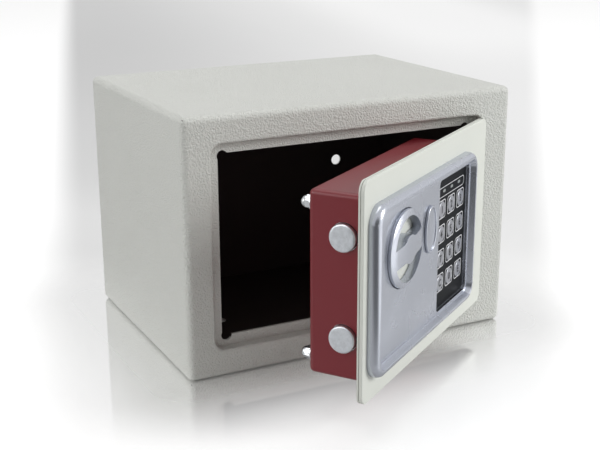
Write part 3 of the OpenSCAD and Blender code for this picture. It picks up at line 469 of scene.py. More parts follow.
def hammered_paint(name, color, cell, depth, roughness):
    """A sprayed coat whose dimples have that width and depth in millimetres."""
    material = shader(name, color, roughness)
    place = coordinates(material)
    dimples = noise(material, place, cell, 1.5, 0.45)
    grain = noise(material, place, cell * FINE_SHARE)
    broad = noise(material, place, BROAD_CELL)
    rough_patch = spread(material, dimples, roughness - 0.08, roughness + 0.08)
    skin = bump(material, grain, depth * FINE_SHARE, 0.5)
    skin = bump(material, dimples, depth, 1.0, skin)
    tint = ramp(material, broad, shade_of(color, 0.975), color)
    dress(material, tint, rough_patch, skin)


hammered_paint("body_paint", (0.70, 0.71, 0.67), 1.1, 0.85, 0.40)
hammered_paint("door_paint", (0.76, 0.78, 0.72), 0.7, 0.07, 0.45)
hammered_paint("burgundy_paint", (0.20, 0.012, 0.020), 0.5, 0.015, 0.34)
# painted shade: this near-black coat on the cabinet's inside stands in for the shade inside it
hammered_paint("inner_painted_shade", (0.075, 0.060, 0.055), 1.0, 0.05, 0.6)
print("paints", sorted(materials))

# %% [markdown]
# ### Silver plastic
# The panel, the knob and the key cover are moulded plastic with a silver paint. The paint holds
# fine flakes, so it is mostly metallic: its soft sheen shows what stands around the safe.

# %% Painted plastics
FLAKE, FLAKE_CLOUD = 0.12, 25


def silver_paint(name, color, roughness):
    """A metallic paint whose flakes glitter faintly."""
    material = shader(name, color, roughness, 0.8)
    place = coordinates(material)
    flakes = noise(material, place, FLAKE, 1.0)
    cloud = noise(material, place, FLAKE_CLOUD)
    tint = ramp(material, flakes, shade_of(color, 0.93), shade_of(color, 1.05))
    dress(material, tint, spread(material, cloud, roughness - 0.04, roughness + 0.05),
          bump(material, flakes, 0.004, 0.6))


silver_paint("silver_plastic", (0.55, 0.575, 0.64), 0.26)
silver_paint("key_silver", (0.46, 0.47, 0.51), 0.30)
print("silvers", list(materials)[-2:])

# %% [markdown]
# ### Moulded and printed parts
# The overlay is a black film, the lamps are clear, and the battery tray, the wires and the reset
# button are plain plastics. A faint grain keeps their highlights from looking like glass. The
# coil's lacquered copper takes the same recipe with some metal in it. Print is a material of its
# own, since ink lies on the film and the keys as a thin matt skin.

# %% Plastics and print
def moulded(name, color, roughness, cell, depth, **more):
    """A plastic with a faint grain of that cell width and depth in millimetres."""
    material = shader(name, color, roughness, **more)
    grain = noise(material, coordinates(material), cell)
    dress(material, None, spread(material, grain, roughness - 0.05, roughness + 0.07),
          bump(material, grain, depth, 0.7))


moulded("overlay_black", (0.016, 0.017, 0.019), 0.38, 0.3, 0.003, Specular_IOR_Level=0.03)
moulded("black_plastic", (0.020, 0.020, 0.021), 0.50, 0.5, 0.02)
moulded("lamp_clear", (0.30, 0.33, 0.32), 0.18, 1.5, 0.02, Coat_Weight=0.5)
moulded("board_green", (0.03, 0.13, 0.055), 0.4, 0.8, 0.01)
moulded("cell_wrap", (0.05, 0.06, 0.08), 0.25, 2.0, 0.01)
moulded("wire_red", (0.45, 0.02, 0.02), 0.4, 1.0, 0.01)
moulded("button_red", (0.45, 0.02, 0.02), 0.3, 1.0, 0.01)
moulded("print_white", (0.84, 0.85, 0.87), 0.45, 0.2, 0.002)
moulded("print_dark", (0.02, 0.021, 0.025), 0.45, 0.2, 0.002)
moulded("copper", (0.42, 0.16, 0.07), 0.35, 0.3, 0.03, Metallic=0.6)
print("finishes so far", len(materials))

# %% [markdown]
# ### Plated steel
# Nuts, screws, hinge arms and the lock's carriage are zinc plated: a bright metal with faint
# clouds. The bolts are barrel plated, which mottles their flat ends, so their clouds are
# stronger. The brackets on the cabinet that hold the hinge pins are black steel, the spindle's
# bush and the lock's plug are brass, and the springs are nickel plated.

# %% Metals
PATCH, PLATE_GRAIN = 3.0, 0.25


def plated(name, color, roughness, cloud=0.06, grain_depth=0.003):
    """A plated metal: cloud says how much darker its patches are."""
    material = shader(name, color, roughness, 1.0)
    place = coordinates(material)
    patches = noise(material, place, PATCH, 3.0, 0.6)
    grain = noise(material, place, PLATE_GRAIN)
    tint = ramp(material, patches, shade_of(color, 1 - cloud), color)
    dress(material, tint, spread(material, patches, roughness - 0.05, roughness + 0.1),
          bump(material, grain, grain_depth, 0.8))


plated("zinc", (0.66, 0.68, 0.70), 0.20)
plated("hinge_steel", (0.10, 0.10, 0.10), 0.45)
plated("brass", (0.71, 0.52, 0.24), 0.28)
plated("contact_spring", (0.75, 0.75, 0.70), 0.25)
plated("bolt_steel", (0.74, 0.77, 0.81), 0.34, 0.22, 0.012)
print("finishes", len(materials))

# %% [markdown]
# ## Dressing the solids
# Every solid takes the finish of its own slot in the record, so a piece that is fine as a solid
# needs nothing more. Only the choice of material changes, never the shape.

# %% Give every solid its finish
slot_of = {p["node"]: p["material_slot"] for p in frame["record"]["subparts"]}
for name, solid in nodes.items():
    solid.data.materials.clear()
    solid.data.materials.append(materials[slot_of[name]])
print("dressed", len(nodes), "solids with", len(set(slot_of.values())), "finishes")

# %% [markdown]
# The cabinet's sheets are cream outside. Inside they are painted almost black, as painted
# shade for the dim inside of the cabinet. So their faces are sorted by place and direction: a
# face that looks into the cabinet gets the second material, the painted shade.

# %% Paint shade into the inside of the cabinet
SHEET, MARGIN = 1.5, 0.05
FACING, LEANING = 0.5, 0.3  # how far a face has to turn or lean inwards


def looks_inwards(name, low, high, place, normal):
    """Whether a cabinet face only shows from inside the cabinet."""
    if name == "back_panel":
        return normal.y < -FACING
    if name == "door_frame":
        away = place - (low + high) / 2
        outwards = normal.x * away.x + normal.z * away.z
        return normal.y > FACING or outwards > LEANING * away.length
    wall = SHEET - MARGIN
    return (low.x + wall < place.x < high.x - wall and low.z + wall < place.z < high.z - wall
            and place.y > low.y + wall)


# painted shade: faces that look into the cabinet get the near-black coat that stands in for its shade
for name in ("body_shell", "door_frame", "back_panel"):
    mesh = nodes[name].data
    mesh.materials.append(materials["inner_painted_shade"])
    low, high = (Vector(v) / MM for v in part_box(name))
    dark = [p for p in mesh.polygons
            if looks_inwards(name, low, high, p.center / MM, p.normal)]
    for polygon in dark:
        polygon.material_index = 1
    print(name, "dark faces", len(dark), "of", len(mesh.polygons))


# %% [markdown]
# A finer piece takes the place of a solid. It rides on the solid's body, so that it moves with
# the joint, and keeps the solid's slot. Printed signs lie in a slot too, but have an ink as
# their material.

# %% Place a finished piece
def piece(mesh, matrix, name, body, slot, *replaced, material=None):
    """Places a finished mesh, dresses it, and lets it ride on its body."""
    made = finish_mesh(mesh, matrix, name)
    made.data.materials.append(materials[material or slot])
    if replaced:
        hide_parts(*replaced)
    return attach(made, body)


# %% [markdown]
# ## The silver panel
# The panel is one moulding: a rim with a full round outer shoulder, a wall that slopes down
# inside it, a flat floor with round and oval openings, and a deeper recess for the keypad. A
# stack of rounded rectangles gives the rim its soft highlights, which a boolean would not.

# %% Panel rim
panel_low, panel_high = on_door("fascia")
PANEL_SIZE, PANEL_CENTRE = face_size("fascia"), middle("fascia")
INSIDE_BOX = 0.01  # keeps the crest just inside the solid's box
RIM_HEIGHT, FLOOR_HEIGHT, FLOOR_SHEET = -panel_low.y - INSIDE_BOX, 2.6, 1.8
PANEL_CORNER, CORNER_STEPS = 11.0, 14
SHOULDER, INNER_EDGE = 4.0, 0.35
RIM_WIDTH, RIM_DRAFT = 4.4, 1.3
RIM_FOOT = RIM_WIDTH + RIM_DRAFT


def rim_profile():
    """Points of (inset, height) from the outer foot over the crest to the floor."""
    outer = [(0.0, 0.02), (0.0, RIM_HEIGHT - SHOULDER)]
    outer += quarter((SHOULDER, RIM_HEIGHT - SHOULDER), SHOULDER, 180, 90, 10)[1:]
    inner = quarter((RIM_WIDTH - INNER_EDGE + 0.1, RIM_HEIGHT - INNER_EDGE), INNER_EDGE, 90, 18, 4)
    return outer + inner + [(RIM_FOOT - 0.3, FLOOR_HEIGHT + 0.45),
                            (RIM_FOOT - 0.1, FLOOR_HEIGHT + 0.1), (RIM_FOOT + 0.4, FLOOR_HEIGHT)]


rim_loops = []
for inset, height in rim_profile():
    loop = rounded_rectangle(PANEL_SIZE.x - 2 * inset, PANEL_SIZE.y - 2 * inset,
                             PANEL_CORNER - inset, CORNER_STEPS)
    rim_loops.append([(x, y, height) for x, y in loop])
rim = loft_mesh(rim_loops, name="panel_rim")
print("panel", [round(v, 1) for v in PANEL_SIZE], "rim", round(RIM_HEIGHT, 1))

# %% [markdown]
# The panel's floor has an oval hole for the emergency lock, under the oval cover. The oval has
# long flat arcs at its sides and small arcs at its ends, which cross at four soft corners. So its
# outline is worked out point by point: from the middle, a ray runs to the nearer of two arcs.

# %% The oval's outline
COVER_END = 6.6  # radius of the end arcs, which meet the side arcs at the cross angle
COVER_CROSS = math.radians(41.3)
END_REACH = 1.5  # how far before the cross an end arc may count
COVER_SIZE = face_size("key_cover")


def arc_reach(ray, x, y, radius):
    """How far a ray from the middle runs to a circle that lies on the ray's own side."""
    forward = abs(ray.x) * x + abs(ray.y) * y
    return forward + math.sqrt(max(forward ** 2 - x ** 2 - y ** 2 + radius ** 2, 0))


def cover_outline(inset=0, centre=(0, 0), count=96):
    """The key cover's outline: side arcs crossed by end arcs, drawn in by inset."""
    width, height = COVER_SIZE
    end = Vector((COVER_END * math.cos(COVER_CROSS), height / 2 - COVER_END
                  + COVER_END * math.sin(COVER_CROSS)))
    bulge = width / 2 - end.x
    side = (bulge ** 2 + end.y ** 2) / (2 * bulge)
    points = []
    for i in range(count):
        a = 2 * math.pi * (i + 0.5) / count
        ray = Vector((math.cos(a), math.sin(a)))
        to_side = arc_reach(ray, width / 2 - side, 0, side - inset)
        to_end = arc_reach(ray, 0, height / 2 - COVER_END, COVER_END - inset)
        near_end = abs(ray.y) * to_side > end.y - END_REACH
        r = min(to_side, to_end) if near_end else to_side
        points.append((centre[0] + r * ray.x, centre[1] + r * ray.y))
    return points


print("oval", [round(v, 1) for v in COVER_SIZE])

# %% [markdown]
# The floor is a plate cut to the rim's inner outline, with a round hole for the knob, the oval
# one for the lock and a rounded rectangle for the keypad. A plate with holes gives clean edges.

# %% Panel floor
knob_low, knob_high = on_door("knob")
overlay_low, overlay_high = on_door("keypad_overlay")
KNOB_RADIUS, KNOB_GAP = (knob_high.x - knob_low.x) / 2, 0.4
LOCK_INSET = 1.25
OVERLAY_GAP, KEYPAD_CORNER = 0.2, 3.0
KEYPAD_SIZE = face_size("keypad_overlay") + Vector((2, 2)) * OVERLAY_GAP
floor_inset = RIM_FOOT + 0.3
floor_outline = rounded_rectangle(PANEL_SIZE.x - 2 * floor_inset, PANEL_SIZE.y - 2 * floor_inset,
                                  PANEL_CORNER - floor_inset, CORNER_STEPS)
knob_hole = circle(KNOB_RADIUS + KNOB_GAP, 120, middle("knob") - PANEL_CENTRE)
lock_hole = cover_outline(LOCK_INSET, middle("key_cover") - PANEL_CENTRE)
keypad_place = middle("keypad_overlay") - PANEL_CENTRE
well_outline = rounded_rectangle(*KEYPAD_SIZE, KEYPAD_CORNER, 10, keypad_place)
panel_floor = plate_mesh([floor_outline, knob_hole, lock_hole, well_outline],
                         FLOOR_HEIGHT - FLOOR_SHEET, FLOOR_HEIGHT, 0.2, "panel_floor")
print("panel floor", len(panel_floor.polygons), "faces")

# %% [markdown]
# The keypad lies in a well: a wall goes down from the floor to a ledge, which carries the
# overlay, and the well's skirt reaches through the door plate. Its outline only grows or shrinks
# on the way down, so it is a stack of loops again.

# %% Keypad well and the whole panel
WELL_DEPTH, LEDGE = panel_high.y, 1.2
overlay_seat = -overlay_high.y
well_loops = []
for grow, height in ((0.15, FLOOR_HEIGHT - 0.15), (0, FLOOR_HEIGHT - 0.4), (0, overlay_seat),
                     (-LEDGE, overlay_seat), (-LEDGE, -WELL_DEPTH), (LEDGE, -WELL_DEPTH),
                     (LEDGE, 0.9)):
    loop = rounded_rectangle(KEYPAD_SIZE.x + 2 * grow, KEYPAD_SIZE.y + 2 * grow,
                             KEYPAD_CORNER + max(grow, -1), 10, keypad_place)
    well_loops.append([(x, y, height) for x, y in loop])
well = loft_mesh(well_loops, name="keypad_well")
panel = piece(joined([rim, panel_floor, well], "panel"), on_front(*PANEL_CENTRE), "panel",
              "door", "silver_plastic", "fascia")
print("panel", len(panel.data.polygons), "faces")

# %% [markdown]
# ## The knob
# The knob is a low crowned disc, crossed by a bar with a round boss. Two openings beside the bar
# are for a finger and a thumb, and show the door behind. It is a turned blank, with the openings
# cut out by a boolean and every sharp edge rounded by a bevel, as a mould maker would.

# %% Knob
KNOB_FACE, KNOB_BACK = -knob_low.y, -knob_high.y
KNOB_EDGE_HEIGHT, KNOB_RING_HEIGHT, KNOB_RIM = 4.5, 5.9, 3.6
POCKET_RADIUS = KNOB_RADIUS - KNOB_RIM
BAR_HALF, BOSS_RADIUS = 5.75, 8.4
KNOB_TILT = 7
ARC_STEPS, BOSS_STEPS, CROWN_STEPS = 40, 16, 8
KNOB_EDGE = 0.5  # the rounding of the outer edge
EASE, EASE_END = 0.2, 0.6  # where the bar runs into the ring
BOSS_EASE, BOSS_NEAR, BOSS_FAR = 0.25, 0.7, 1.6  # where it runs into the boss


def pocket_outline():
    """The opening above the bar: an arc outside, and the bar's edge with the boss inside."""
    reach = math.asin((BAR_HALF + 0.7) / POCKET_RADIUS)
    points = []
    for i in range(ARC_STEPS + 1):
        a = reach + (math.pi - 2 * reach) * i / ARC_STEPS
        points.append((POCKET_RADIUS * math.cos(a), POCKET_RADIUS * math.sin(a)))
    corner_x = math.sqrt(POCKET_RADIUS ** 2 - BAR_HALF ** 2)
    boss_start = math.asin(BAR_HALF / BOSS_RADIUS)
    boss_x = BOSS_RADIUS * math.cos(boss_start)
    points += [(-corner_x + EASE, BAR_HALF + EASE), (-corner_x + EASE_END, BAR_HALF),
               (-boss_x - BOSS_FAR, BAR_HALF), (-boss_x - BOSS_NEAR, BAR_HALF + BOSS_EASE)]
    for i in range(1, BOSS_STEPS):
        a = math.pi - boss_start - (math.pi - 2 * boss_start) * i / BOSS_STEPS
        points.append((BOSS_RADIUS * math.cos(a), BOSS_RADIUS * math.sin(a)))
    points += [(boss_x + BOSS_NEAR, BAR_HALF + BOSS_EASE), (boss_x + BOSS_FAR, BAR_HALF),
               (corner_x - EASE_END, BAR_HALF), (corner_x - EASE, BAR_HALF + EASE)]
    return points


crown_drop = KNOB_FACE - KNOB_RING_HEIGHT
crown = [(POCKET_RADIUS * k / CROWN_STEPS, KNOB_FACE - crown_drop * (k / CROWN_STEPS) ** 2)
         for k in range(CROWN_STEPS, -1, -1)]
edge_centre = (KNOB_RADIUS - KNOB_EDGE, KNOB_EDGE_HEIGHT - KNOB_EDGE)
blank = lathe_mesh([(0, KNOB_BACK), (KNOB_RADIUS - 0.3, KNOB_BACK), (KNOB_RADIUS, KNOB_BACK + 0.3)]
                   + quarter(edge_centre, KNOB_EDGE, 0, 65, 4) + crown, "knob_blank", 144)
upper = pocket_outline()
pockets = [prism_mesh(outline, KNOB_BACK - 1, KNOB_FACE + 1, "pocket")
           for outline in (upper, [(-x, -y) for x, y in upper])]
knob = piece(moved(carved_mesh(blank, pockets, 0.45, "knob_disc"), turn=KNOB_TILT),
             on_front(*middle("knob")), "knob_disc", "knob_train", "silver_plastic", "knob")
print("knob", len(knob.data.polygons), "faces, radius", round(KNOB_RADIUS, 1))

# %% [markdown]
# ## The oval key cover
# It hides the emergency keyhole and pulls straight off. Its edge is a bead that stands higher
# than its face, which gives it the bright outline. Behind it a spigot plugs into the panel.
# Smaller and smaller ovals at different heights are joined up, as for the panel's rim.

# %% Key cover
cover_low, cover_high = on_door("key_cover")
COVER_FOOT, COVER_FACE = FLOOR_HEIGHT + 0.05, -cover_low.y
BEAD = 0.6
SPIGOT_INSET, SPIGOT_WALL = 1.5, 1.0


def oval_loop(inset, height):
    """The cover's outline, drawn in, at that height."""
    return [(x, y, height) for x, y in cover_outline(inset)]


cover_steps = [(0.3, COVER_FOOT), (0, COVER_FOOT + 0.2)]
cover_steps += quarter((BEAD, COVER_FACE - BEAD), BEAD, 180, 90, 6)
cover_steps += [(0.95, COVER_FACE), (1.25, COVER_FACE - 0.2), (1.4, COVER_FACE - 0.75),
                (1.7, COVER_FACE - 0.85)]
cover_plate = loft_mesh([oval_loop(*step) for step in cover_steps], (True, True), "cover_plate")
cover_spigot = plate_mesh([cover_outline(SPIGOT_INSET), cover_outline(SPIGOT_INSET + SPIGOT_WALL)],
                          -cover_high.y, COVER_FOOT + 0.1, 0.15, "cover_spigot")
piece(joined([cover_plate, cover_spigot], "oval_cover"), on_front(*middle("key_cover")),
      "oval_cover", "key_cover", "silver_plastic", "key_cover")
print("cover face at", round(COVER_FACE, 2))

# %% [markdown]
# ## Keys and printing
# Twelve round silver keys stand a little above a black overlay, each a turned cap on a flange
# that keeps it in. Each has a printed digit, or a letter for clear and enter. The signs are text
# turned into a mesh, laid a few hundredths of a millimetre above the key, as ink lies.

# %% Keys
KEY_NAMES = [f"key_{n}" for n in (1, 2, 3, 4, 5, 6, 7, 8, 9, "clear", 0, "enter")]
KEY_SIGNS = ["1", "2", "3", "4", "5", "6", "7", "8", "9", "C", "0", "E"]
key_low, key_high = on_door("key_5")
KEY_FACE, KEY_STEM = -key_low.y, -key_high.y
KEY_RADIUS, KEY_EDGE, STEM_RADIUS = 5.1, 0.45, 2
KEY_FLANGE, FLANGE_TOP, FLANGE_BACK = 6.4, -1.0, -1.8
NECK_RADIUS, CAP_BACK = 4.6, -0.6
SIGN_SIZE, SIGN_BOLD, INK = 6.4, 0.1, 0.03


def sign_mesh(text, size, low, high, name):
    """A printed sign: text as a flat mesh, centred, from low to high."""
    curve = bpy.data.curves.new(name, "FONT")
    curve.body = text
    curve.size = size
    curve.extrude = (high - low) / 2
    curve.offset = SIGN_BOLD
    curve.resolution_u = 6
    mesh = worked_out(curve, name)
    xs = [v.co.x for v in mesh.vertices]
    ys = [v.co.y for v in mesh.vertices]
    shift = (-(min(xs) + max(xs)) / 2, -(min(ys) + max(ys)) / 2, (low + high) / 2)
    mesh.transform(Matrix.Translation(shift))
    return mesh


cap_profile = ([(0, KEY_STEM), (STEM_RADIUS, KEY_STEM), (STEM_RADIUS, FLANGE_BACK),
                (KEY_FLANGE, FLANGE_BACK), (KEY_FLANGE, FLANGE_TOP), (NECK_RADIUS, FLANGE_TOP),
                (NECK_RADIUS, CAP_BACK), (KEY_RADIUS, CAP_BACK)]
               + quarter((KEY_RADIUS - KEY_EDGE, KEY_FACE - KEY_EDGE), KEY_EDGE, 0, 90, 5)
               + [(4.0, KEY_FACE), (2.8, KEY_FACE - 0.05), (0, KEY_FACE - 0.1)])
for name, sign in zip(KEY_NAMES, KEY_SIGNS):
    place = on_front(*middle(name))
    piece(lathe_mesh(cap_profile, name + "_cap", 48), place, name + "_cap", name,
          "key_silver", name)
    piece(sign_mesh(sign, SIGN_SIZE, KEY_FACE - 0.15, KEY_FACE + INK, name + "_sign"), place,
          name + "_sign", name, "overlay_black", material="print_dark")
print("keys", len(KEY_NAMES), "face at", round(KEY_FACE, 2))

# %% [markdown]
# A white line is printed round each key and round the three small lamps above them. The plate
# tool draws it: a rounded rectangle with a slightly smaller one cut out of it.

# %% Printed frames
OVERLAY_FACE = -overlay_low.y
KEY_FRAME = (12.2, 11.6, 1.8, 0.55)  # width, height, corner radius and stroke
LAMP_FRAME = (43.6, 6.2, 2.4, 0.36)
LAMP_FRAME_SHIFT = Vector((0, -0.5))


def printed_frame(width, height, corner, stroke, centre, name):
    """A printed line of that stroke round a rounded rectangle."""
    outside = rounded_rectangle(width, height, corner, 6, centre)
    inside = rounded_rectangle(width - 2 * stroke, height - 2 * stroke, corner - stroke, 6, centre)
    return plate_mesh([outside, inside], OVERLAY_FACE - 0.02, OVERLAY_FACE + 0.04, 0, name)


frames = [printed_frame(*KEY_FRAME, middle(name), "key_frame") for name in KEY_NAMES]
frames.append(printed_frame(*LAMP_FRAME, middle("status_lamps") + LAMP_FRAME_SHIFT, "lamp_frame"))
print("frames", len(frames))
piece(joined(frames, "printed_frames"), on_front(0, 0), "printed_frames", "door", "overlay_black",
      material="print_white")

# %% [markdown]
# ## Bolts and nuts
# The bolts are round bars with a rounded nose, cut from bar and turned at the end, so they are a
# profile spun round the axis that they slide along.

# %% Bolts
NOSE = 1.0
for name in ("bolt_lower", "bolt_upper"):
    low, high = on_door(name)
    radius, length = (high.y - low.y) / 2, high.x - low.x
    bolt_profile = ([(0, -length), (radius, -length)]
                    + quarter((radius - NOSE, -NOSE), NOSE, 0, 90, 7)
                    + [(radius - 2.2, -0.02), (0, 0.0)])
    piece(lathe_mesh(bolt_profile, name + "_bar", 96),
          on_edge(low.x, (low.y + high.y) / 2, (low.z + high.z) / 2),
          name + "_bar", "bolt_work", "bolt_steel", name)
    print(name, "radius", round(radius, 2), "length", round(length, 2))

# %% [markdown]
# The lock box is held by cap nuts on its back, each on a washer. A nut is cut from a hexagonal
# bar and its corners are turned off at both ends: at each height the hexagon is cut back to a
# circle where it reaches past it. A dome on top closes it over the stud.

# %% Cap nuts and washers
NUT_FLATS, NUT_HEIGHT, WASHER = 7.0, 3.4, 0.8
NUT_STEPS, WASHER_RADIUS, WASHER_BORE, STUD_RADIUS = 72, 4.75, 2.05, 2
stud_low, stud_high = on_door("box_studs")
BOX_BACK = on_door("door_box")[1].y


def cap_nut():
    """A hexagon with turned corners at both ends, and a dome."""
    corner = NUT_FLATS / 2 / math.cos(math.pi / 6)
    chamfer = corner - NUT_FLATS / 2
    loops = []
    for height, limit in ((0.0, NUT_FLATS / 2 + 0.05), (chamfer * 0.6, corner),
                          (NUT_HEIGHT - chamfer * 0.6, corner), (NUT_HEIGHT, NUT_FLATS / 2 + 0.05)):
        loop = []
        for step in range(NUT_STEPS):
            a = 2 * math.pi / NUT_STEPS * step
            lean = (a + math.pi / 6) % (math.pi / 3) - math.pi / 6
            r = min(NUT_FLATS / 2 / math.cos(lean), limit)
            loop.append((r * math.cos(a), r * math.sin(a), height))
        loops.append(loop)
    hexagon = loft_mesh(loops, (True, True), "nut_hexagon")
    dome_radius = NUT_FLATS / 2 - 0.1
    neck = dome_radius - 0.25
    dome = lathe_mesh([(neck, NUT_HEIGHT - 0.1), (neck, NUT_HEIGHT + 0.2)]
                      + quarter((0, NUT_HEIGHT), dome_radius, 6, 90, 12)[:-1]
                      + [(0, NUT_HEIGHT + dome_radius)], "nut_dome", 48)
    return joined([hexagon, dome], "cap_nut")


nuts, washers = [], []
for x in (stud_low.x + STUD_RADIUS, stud_high.x - STUD_RADIUS):
    for z in (stud_low.z + STUD_RADIUS, stud_high.z - STUD_RADIUS):
        nuts.append(moved(cap_nut(), -x, z, WASHER, turn=x * 7 + z))
        washer = plate_mesh([circle(WASHER_RADIUS, 64), circle(WASHER_BORE, 48)], 0, WASHER, 0.12,
                            "washer")
        washers.append(moved(washer, -x, z))
print("nuts", len(nuts), "washers", len(washers))
piece(joined(nuts, "dome_nuts"), on_back(0, 0, BOX_BACK), "dome_nuts", "door", "zinc", "cap_nuts")
piece(joined(washers, "nut_washers"), on_back(0, 0, BOX_BACK), "nut_washers", "door", "zinc",
      "stud_washers")

# %% [markdown]
# ## The back of the door
# Two hinge arms are screwed to the door with pan-headed screws. A head is turned, and its cross
# recess is pressed in, which a boolean with two crossed bars does here.

# %% Hinge screws
HEAD_RADIUS, HEAD_HEIGHT = 3.4, 2.2
RECESS_SPAN, RECESS_WIDTH, RECESS_DEPTH = 3.6, 0.75, 1.0


def screw_head(radius, height):
    """A pan head with a cross recess, its seat at 0."""
    profile = [(0, -0.4), (radius - 0.6, -0.4), (radius - 0.6, 0), (radius, 0.02)]
    profile += quarter((radius - height * 0.8, height * 0.2), height * 0.8, 0, 90, 6)
    head = lathe_mesh(profile + [(0, height)], "screw_head", 48)
    arms = []
    for turn in (0, 90):
        outline = rounded_rectangle(RECESS_SPAN, RECESS_WIDTH, 0.2, 2)
        arm = prism_mesh(outline, height - RECESS_DEPTH, height + 1, "recess")
        arms.append(moved(arm, turn=turn))
    return carved_mesh(head, arms, 0.05, "screw_head")


screw_low, screw_high = on_door("hinge_screws")
seat = screw_high.y - HEAD_HEIGHT
heads = []
for i, x in enumerate((screw_low.x + HEAD_RADIUS, screw_high.x - HEAD_RADIUS)):
    for j, z in enumerate((screw_low.z + HEAD_RADIUS, screw_high.z - HEAD_RADIUS)):
        heads.append(moved(screw_head(HEAD_RADIUS, HEAD_HEIGHT), -x, z, turn=25 + 31 * i + 47 * j))
print("screw heads", len(heads))
piece(joined(heads, "screw_heads"), on_back(0, 0, seat), "screw_heads", "door", "zinc",
      "hinge_screws")

# %% [markdown]
# The battery lid slides off the box: a plate with soft edges and a row of grip ribs, and a tongue
# behind it that is shorter than its window by the lid's travel. The reset button is a turned pin
# with a dished end.

# %% Battery lid and reset button
lid_low, lid_high = on_door("battery_lid")
lid_size = face_size("battery_lid")
LID_SHEET, LID_TRAVEL, TONGUE_INSET = 1.5, 12, 5.1
RIBS, RIB_PITCH, RIB_LENGTH, RIB_WIDTH = 5, 2.6, 24, 1.5
FIRST_RIB = 6  # from the lid's upper edge
tongue = rounded_rectangle(lid_size.x - 2 * TONGUE_INSET,
                           lid_size.y - 2 * TONGUE_INSET - LID_TRAVEL, 1.5, 5,
                           (0, -LID_TRAVEL / 2))
lid_parts = [plate_mesh([rounded_rectangle(*lid_size, 2.0)], -LID_SHEET, -0.35, 0.3, "lid_plate"),
             plate_mesh([tongue], lid_low.y - lid_high.y, -LID_SHEET + 0.1, 0.1, "lid_tongue")]
for i in range(RIBS):
    rib_height = lid_size.y / 2 - FIRST_RIB - RIB_PITCH * i
    rib = rounded_rectangle(RIB_LENGTH, RIB_WIDTH, 0.7, 5, (0, rib_height))
    lid_parts.append(plate_mesh([rib], -0.6, 0, 0.3, "grip_rib"))
piece(joined(lid_parts, "lid_cover"), on_back(*middle("battery_lid"), lid_high.y), "lid_cover",
      "battery_lid", "burgundy_paint", "battery_lid")

reset_low, reset_high = on_door("reset_button")
reset_radius = (reset_high.x - reset_low.x) / 2
reset_length = reset_high.y - reset_low.y
RESET_EDGE = 0.8
reset_profile = ([(0, -reset_length), (reset_radius, -reset_length)]
                 + quarter((reset_radius - RESET_EDGE, -RESET_EDGE), RESET_EDGE, 0, 90, 6)
                 + [(1.6, -0.05), (0, -0.25)])
piece(lathe_mesh(reset_profile, "reset_cap", 48), on_back(*middle("reset_button"), reset_high.y),
      "reset_cap", "reset_button", "button_red", "reset_button")
print("lid", [round(v, 1) for v in lid_size])

# %% [markdown]
# ## The stage
# The safe stands on a large white gloss sheet: a plain plane, since only its finish counts. From
# here on lengths are in metres. Two helpers add arithmetic nodes, for numbers that are worked out
# from the place on the sheet.

# %% Floor
FLOOR_SIZE, FLOOR_DROP = 12.0, 0.0002
SHEET_WHITE = (0.62, 0.62, 0.62)
bpy.ops.mesh.primitive_plane_add(size=FLOOR_SIZE, location=(0, 0, -FLOOR_DROP))
floor = bpy.context.object
floor.name = "stage_floor"
floor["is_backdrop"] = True
sheet = shader("stage_floor", SHEET_WHITE, 0.5, Specular_IOR_Level=0.2)
floor.data.materials.append(sheet)


def vector_math(material, operation, first, second=(0, 0, 0)):
    """One vector operation, as a number or a vector."""
    made = add_node(material, "ShaderNodeVectorMath", {0: first, 1: second}, operation=operation)
    return made.outputs["Value" if operation in ("DOT_PRODUCT", "LENGTH") else "Vector"]


def plain_math(material, operation, first, second):
    """One operation of two numbers."""
    made = add_node(material, "ShaderNodeMath", {0: first, 1: second}, operation=operation)
    return made.outputs[0]


# %% [markdown]
# The sheet's own light differs by place: bright in front, greyer towards the back left, and white
# at both sides, as on a lit sweep. Three directions on the sheet measure how far back a place lies
# and how far to each side. Soft steps along them are added up; nothing of the camera goes in.

# %% Floor brightness by place
BACKWARDS, LEFT_SIDE, RIGHT_SIDE = (0.452, 0.892, 0), (0.979, -0.280, 0), (0.805, -0.624, 0)
SIDE_GLOW = 0.6
floor_place = coordinates(sheet)


def along(direction):
    """How far a place on the floor lies in that direction, in metres."""
    return vector_math(sheet, "DOT_PRODUCT", floor_place, direction)


def soft_step(value, low, high, start, end):
    """Goes softly from low to high while the value goes from start to end."""
    return spread(sheet, value, low, high, (start, end), "SMOOTHSTEP")


def times(first, second):
    return plain_math(sheet, "MULTIPLY", first, second)


def total(first, second):
    return plain_math(sheet, "ADD", first, second)


def between(share, low, high):
    """Goes from low to high as the share goes from 0 to 1."""
    return total(low, times(share, plain_math(sheet, "SUBTRACT", high, low)))


away, left_line, right_line = along(BACKWARDS), along(LEFT_SIDE), along(RIGHT_SIDE)
left_glow = total(soft_step(away, 0.50, 0.12, -0.28, 0.45), soft_step(away, 0, 0.135, 0.8, 2.4))
right_glow = total(soft_step(away, 0.51, 0.28, -0.28, 0.25),
                   spread(sheet, away, 0, 0.16, (0.2, 2.2)))
glow = between(soft_step(left_line, 0, 1, -0.12, 0.50), left_glow, right_glow)
back_glow = times(soft_step(left_line, 0, 0.1, 0.35, 0.6), soft_step(left_line, 1, 0, 0.8, 1.02))
glow = total(glow, times(back_glow, soft_step(away, 0, 1, 0.9, 1.6)))
glow = between(soft_step(left_line, 1, 0, -0.20, -0.15), glow, SIDE_GLOW)
glow = between(soft_step(right_line, 0, 1, 0.165, 0.21), glow, SIDE_GLOW)
print("floor nodes", len(sheet.node_tree.nodes))

# %% [markdown]
# The silver panel and the plated steel mirror the sheet. In the photograph they mirror something
# dark straight in front of the safe, and something bright to the right of it. So for mirrored
# rays the sheet is dark beyond its front part and bright at the right.

